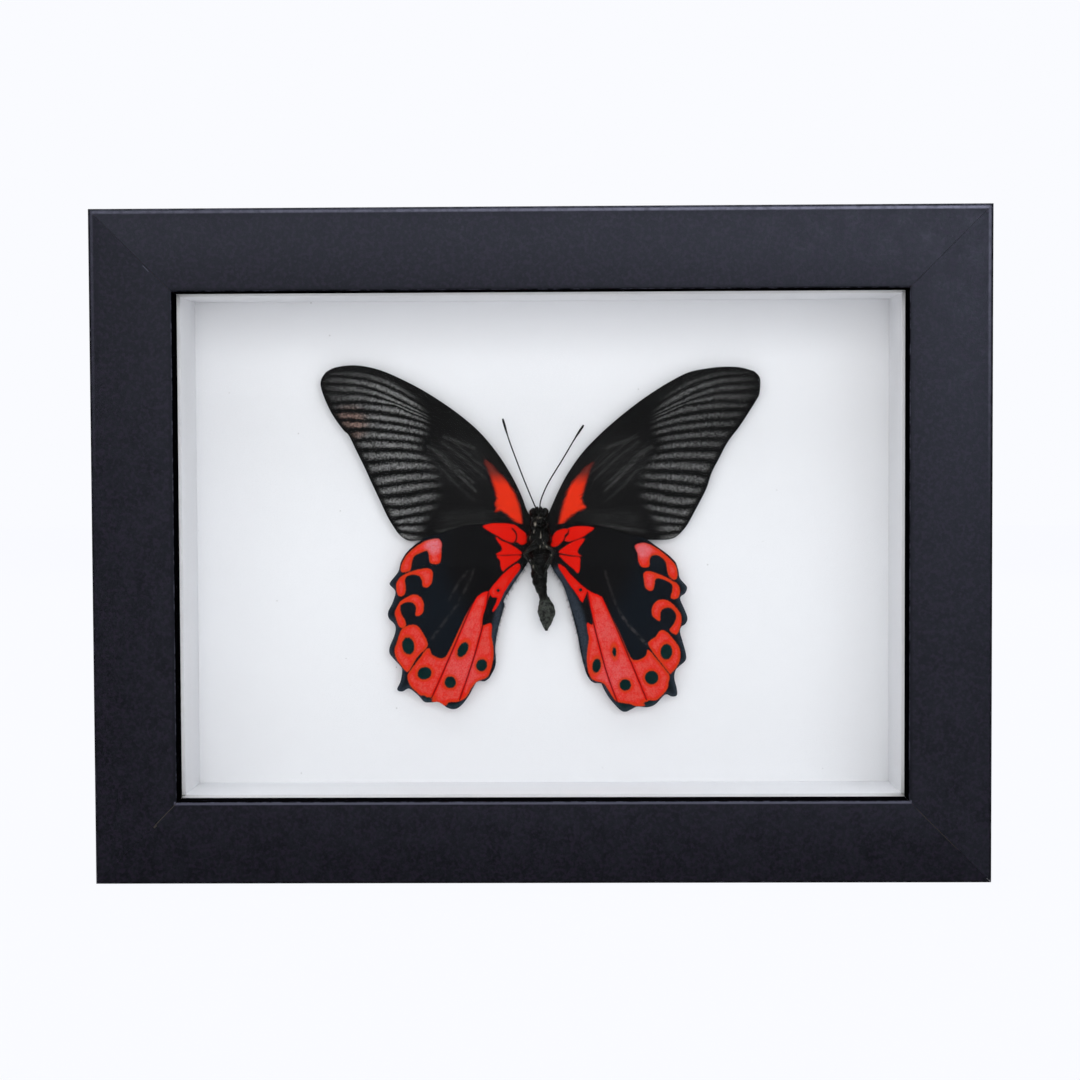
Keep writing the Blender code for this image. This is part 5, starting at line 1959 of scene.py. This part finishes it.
@dataclass
class Hair:
    """Short dark hair on the body and along the inner margins of the hindwings."""

    body_hairs: int = 2600
    margin_hairs: int = 420
    # pale tufts laid on the thorax and the folded legs as painted highlights: across, up, half width and half
    # height of each tuft in millimetres, then its hairs
    highlight_tufts: tuple = (
        (-1.6, 4.85, 0.22, 0.40, 26), (-0.25, 2.3, 0.10, 0.80, 26), (-1.9, 3.1, 0.12, 0.3, 8),
        (1.1, -0.6, 0.15, 0.2, 9), (-0.45, -0.6, 0.12, 0.25, 8), (0.4, 0.2, 0.1, 0.2, 5),
        (2.2, -2.6, 0.12, 0.2, 7), (-2.1, -5.2, 0.15, 0.2, 7), (-2.9, 1.5, 0.1, 0.3, 4),
        (-0.7, 6.3, 0.5, 0.08, 6),
    )
    thickness_mm: float = 0.035

    def strand(self, bm: bmesh.types.BMesh, root: Vector, heading: Vector, length: float) -> None:
        """Add one hair: a thin three-sided cone."""
        turn = Vector((0.0, 0.0, 1.0)).rotation_difference(heading).to_matrix().to_4x4()
        place = Matrix.Translation(root + heading * length / 2) @ turn
        radius = self.thickness_mm * MM
        bmesh.ops.create_cone(
            bm, cap_ends=True, segments=3, radius1=radius, radius2=radius * 0.15, depth=length, matrix=place
        )

    def body_coat(self, body: Body, finish: Finish) -> bpy.types.Object:
        """Cover the thorax and the head.

        Args:
            body: the body that carries the hair.
            finish: its finish.

        Returns:
            The finished coat.
        """
        rng = np.random.default_rng(SEED)
        bm = bmesh.new()
        for _ in range(self.body_hairs):
            across, back, up, wide, deep, tall = body.lobes[int(rng.integers(0, 7))]
            turn, rise = rng.uniform(0.0, 2 * math.pi), rng.uniform(-0.95, 0.95)
            flat = math.sqrt(1.0 - rise * rise)
            out = Vector((math.cos(turn) * flat, math.sin(turn) * flat, rise))
            root = body.at(across, up, back) + Vector((out.x * wide, out.y * deep, out.z * tall)) * MM * 0.97
            droop = Vector((rng.normal(0, 0.35), rng.normal(0, 0.35), rng.normal(-0.55, 0.4)))
            self.strand(bm, root, (out + droop).normalized(), rng.uniform(0.45, 1.15) * MM)
        piece = finish_mesh("body_hair", bm, finish)
        return hand_over(piece, Slot.CHITIN)

    def painted_highlight_tufts(self, body: Body, finish: Finish) -> bpy.types.Object:
        """Lay small pale tufts on the thorax and the folded legs, as painted highlights.

        Args:
            body: the body that carries them.
            finish: their finish.

        Returns:
            The finished tufts.
        """
        rng = np.random.default_rng(SEED + 9)
        bm = bmesh.new()
        for across, up, wide, tall, count in self.highlight_tufts:
            for _ in range(count):
                x, height = across + rng.uniform(-wide, wide), up + rng.uniform(-tall, tall)
                root = body.at(x, height, -3.3)
                heading = Vector((rng.normal(0, 0.2), -0.25, -1.0)).normalized()
                self.strand(bm, root, heading, rng.uniform(0.3, 0.6) * MM)
        return hand_over(finish_mesh("painted_highlight_tufts", bm, finish), Slot.CHITIN)

    def margin_fringe(self, side: Side, finish: Finish) -> bpy.types.Object:
        """Fringe the inner margin of a hindwing.

        Args:
            side: which hindwing.
            finish: its finish.

        Returns:
            The finished fringe.
        """
        rng = np.random.default_rng(SEED + 2 + side.value)
        depth = middle_of(f"hindwing_{side.name.lower()}").y
        shares = rng.uniform(0.05, 0.86, self.margin_hairs)
        line = along_path(HINDWING_SHAPES[side].inner, shares)
        bm = bmesh.new()
        for share, (x, up) in zip(shares, line):
            back = rng.uniform(0.15, 0.6)
            root = in_window(x + side.value * rng.uniform(0.1, 0.7), depth + back * MM, up)
            across = -side.value * rng.uniform(0.2, 1.0)
            heading = Vector((across, rng.uniform(-0.3, 0.3), rng.uniform(-1.3, -0.4)))
            self.strand(bm, root, heading.normalized(), rng.uniform(0.5, 1.3) * (1.1 - 0.5 * share) * MM)
        name = f"wing_fringe_{side.name.lower()}"
        return hand_over(finish_mesh(name, bm, finish), Slot.BLACK_WING)


@dataclass
class GlueDab:
    """The dab of set glue between the butterfly and the board."""

    node: str = "glue_dab"

    def build(self, finish: Finish) -> bpy.types.Object:
        """Build the dab as a squat bulging drop."""
        low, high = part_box(self.node)
        middle, size = (low + high) / 2, high - low
        bm = bmesh.new()
        place = Matrix.Translation(middle) @ Matrix.Rotation(math.pi / 2, 4, "X")
        bmesh.ops.create_uvsphere(bm, u_segments=32, v_segments=16, radius=1.0)
        for vert in bm.verts:
            angle = math.atan2(vert.co.y, vert.co.x)
            wander = 1.0 + 0.08 * math.sin(3 * angle + 0.4) + 0.05 * math.sin(5 * angle)
            flat = math.copysign(abs(vert.co.z) ** 0.6, vert.co.z)
            across, up = vert.co.x * size.x / 2 * wander, vert.co.y * size.z / 2 * wander
            vert.co = Vector((across, up, flat * size.y / 2))
        bmesh.ops.transform(bm, matrix=place, verts=bm.verts)
        close_up(bm)
        return hand_over(finish_mesh(self.node + "_drop", bm, finish), Slot.GLUE, self.node)


# ---------------------------------------------------------------- the studio


@dataclass
class Studio:
    """A pale floor, soft light and the camera."""

    camera_place: Vector = field(default_factory=lambda: Vector((0.0055403, -0.4475, 0.0937023)))
    camera_turn: tuple = (88.048, 0.2592, 0.752)
    lens: float = 62.79
    floor_size: float = 6.0

    def softbox(
        self, name: str, place: Sequence[float], size: Pair, watts: float, tint: Colour
    ) -> bpy.types.Object:
        """Hang one soft light that faces the middle of the frame."""
        light = bpy.data.lights.new(name, "AREA")
        light.shape = "RECTANGLE"
        light.size, light.size_y = size
        light.energy = watts
        light.color = tint
        lamp = bpy.data.objects.new(name, light)
        bpy.context.scene.collection.objects.link(lamp)
        lamp.location = place
        aim = Vector((0.0, 0.0, CENTRE_Z)) - Vector(place)
        lamp.rotation_euler = aim.to_track_quat("-Z", "Y").to_euler()
        return lamp

    def floor(self) -> None:
        """Lay the pale floor."""
        bm = bmesh.new()
        bmesh.ops.create_grid(bm, x_segments=8, y_segments=8, size=self.floor_size / 2)
        material = bpy.data.materials.new("pale_floor")
        material.use_nodes = True
        shader = material.node_tree.nodes["Principled BSDF"]
        shader.inputs["Base Color"].default_value = linear(40, 40, 41)
        shader.inputs["Roughness"].default_value = 0.9
        shader.inputs["Specular IOR Level"].default_value = 0.0
        shader.inputs["Emission Color"].default_value = linear(249, 250, 255)
        shader.inputs["Emission Strength"].default_value = 1.0
        mesh = bpy.data.meshes.new("floor")
        bm.to_mesh(mesh)
        bm.free()
        mesh.materials.append(material)
        floor = bpy.data.objects.new("floor", mesh)
        bpy.context.scene.collection.objects.link(floor)
        floor.visible_glossy = False
        floor.visible_diffuse = False

    def world(self) -> None:
        """Surround the scene with a pale studio that lights it only a little."""
        world = bpy.data.worlds.new("studio")
        world.use_nodes = True
        graph = Graph(world.node_tree)
        world.node_tree.nodes.clear()
        seen = graph.add("ShaderNodeBackground")
        seen.inputs["Color"].default_value = linear(250, 251, 255)
        dim = graph.add("ShaderNodeBackground")
        dim.inputs["Color"].default_value = linear(250, 251, 255)
        dim.inputs["Strength"].default_value = 0.10
        path = graph.add("ShaderNodeLightPath")
        blend = graph.add("ShaderNodeMixShader")
        graph.feed(blend.inputs[0], path.outputs["Is Camera Ray"])
        graph.feed(blend.inputs[1], dim.outputs[0])
        graph.feed(blend.inputs[2], seen.outputs[0])
        graph.feed(graph.add("ShaderNodeOutputWorld").inputs["Surface"], blend.outputs[0])
        bpy.context.scene.world = world

    def camera(self) -> None:
        """Set the camera a little above the middle and aimed slightly down."""
        lens = bpy.data.cameras.new("camera")
        lens.lens = self.lens
        lens.sensor_width = 36.0
        camera = bpy.data.objects.new("camera", lens)
        camera.location = self.camera_place
        camera.rotation_euler = [math.radians(a) for a in self.camera_turn]
        bpy.context.scene.collection.objects.link(camera)
        bpy.context.scene.camera = camera

    def build(self) -> None:
        """Set up the floor, the lights, the surroundings and the camera."""
        bpy.context.scene.view_settings.view_transform = "Standard"
        self.camera()
        self.floor()
        self.world()
        self.softbox("key", (-0.14, -0.90, 0.44), (1.3, 0.32), 2.4, (1.0, 1.0, 1.0))
        kicker = self.softbox("kicker", (0.45, -0.80, 0.34), (0.4, 0.4), 1.6, (0.92, 0.95, 1.0))
        kicker.visible_diffuse = False
        self.softbox("top", (-0.06, -0.30, 0.95), (0.9, 0.6), 2.8, (0.90, 0.94, 1.0))
        self.softbox("rear", (0.2, 1.1, 0.7), (1.2, 0.9), 5.0, (1.0, 1.0, 1.0))
        front = self.softbox("front", (0.0, -1.10, 0.08), (0.5, 0.5), 4.05, (1.0, 1.0, 1.0))
        front.visible_glossy = front.visible_transmission = False


def main() -> None:
    """Build the studio, the frame and the specimen, in order."""
    logging.basicConfig(level=logging.INFO, format="%(message)s")
    Studio().build()
    Moulding().build()
    Insert().build()
    BackHardware().build()
    forewing_finish = ForewingScales("black_forewing_scales", 0.72, 0.0)
    hindwing_finish = HindwingScales("red_hindwing_scales", 0.7, 0.0)
    for side in Side:
        Forewing(side, FOREWING_SHAPES[side], "forewing", Slot.BLACK_WING).build(forewing_finish)
        Hindwing(side, HINDWING_SHAPES[side], "hindwing", Slot.RED_WING).build(hindwing_finish)
    chitin = Chitin("dark_chitin_skin", 0.4, 0.08)
    body = Body()
    body.build(chitin)
    Limbs().build(chitin)
    fuzz = Fuzz("dark_fuzz", 0.7, 0.0)
    hair = Hair()
    hair.body_coat(body, fuzz)
    # pale hair standing in for the glints on the thorax and legs: painted highlight
    hair.painted_highlight_tufts(body, Fuzz("painted_highlight_fuzz", 0.6, 0.1, dark=linear(150, 142, 128), tip=linear(206, 200, 188)))
    for side in Side:
        hair.margin_fringe(side, fuzz)
    GlueDab().build(Glue("clear_glue_dab", 0.3))


if __name__ == "__main__":
    main()
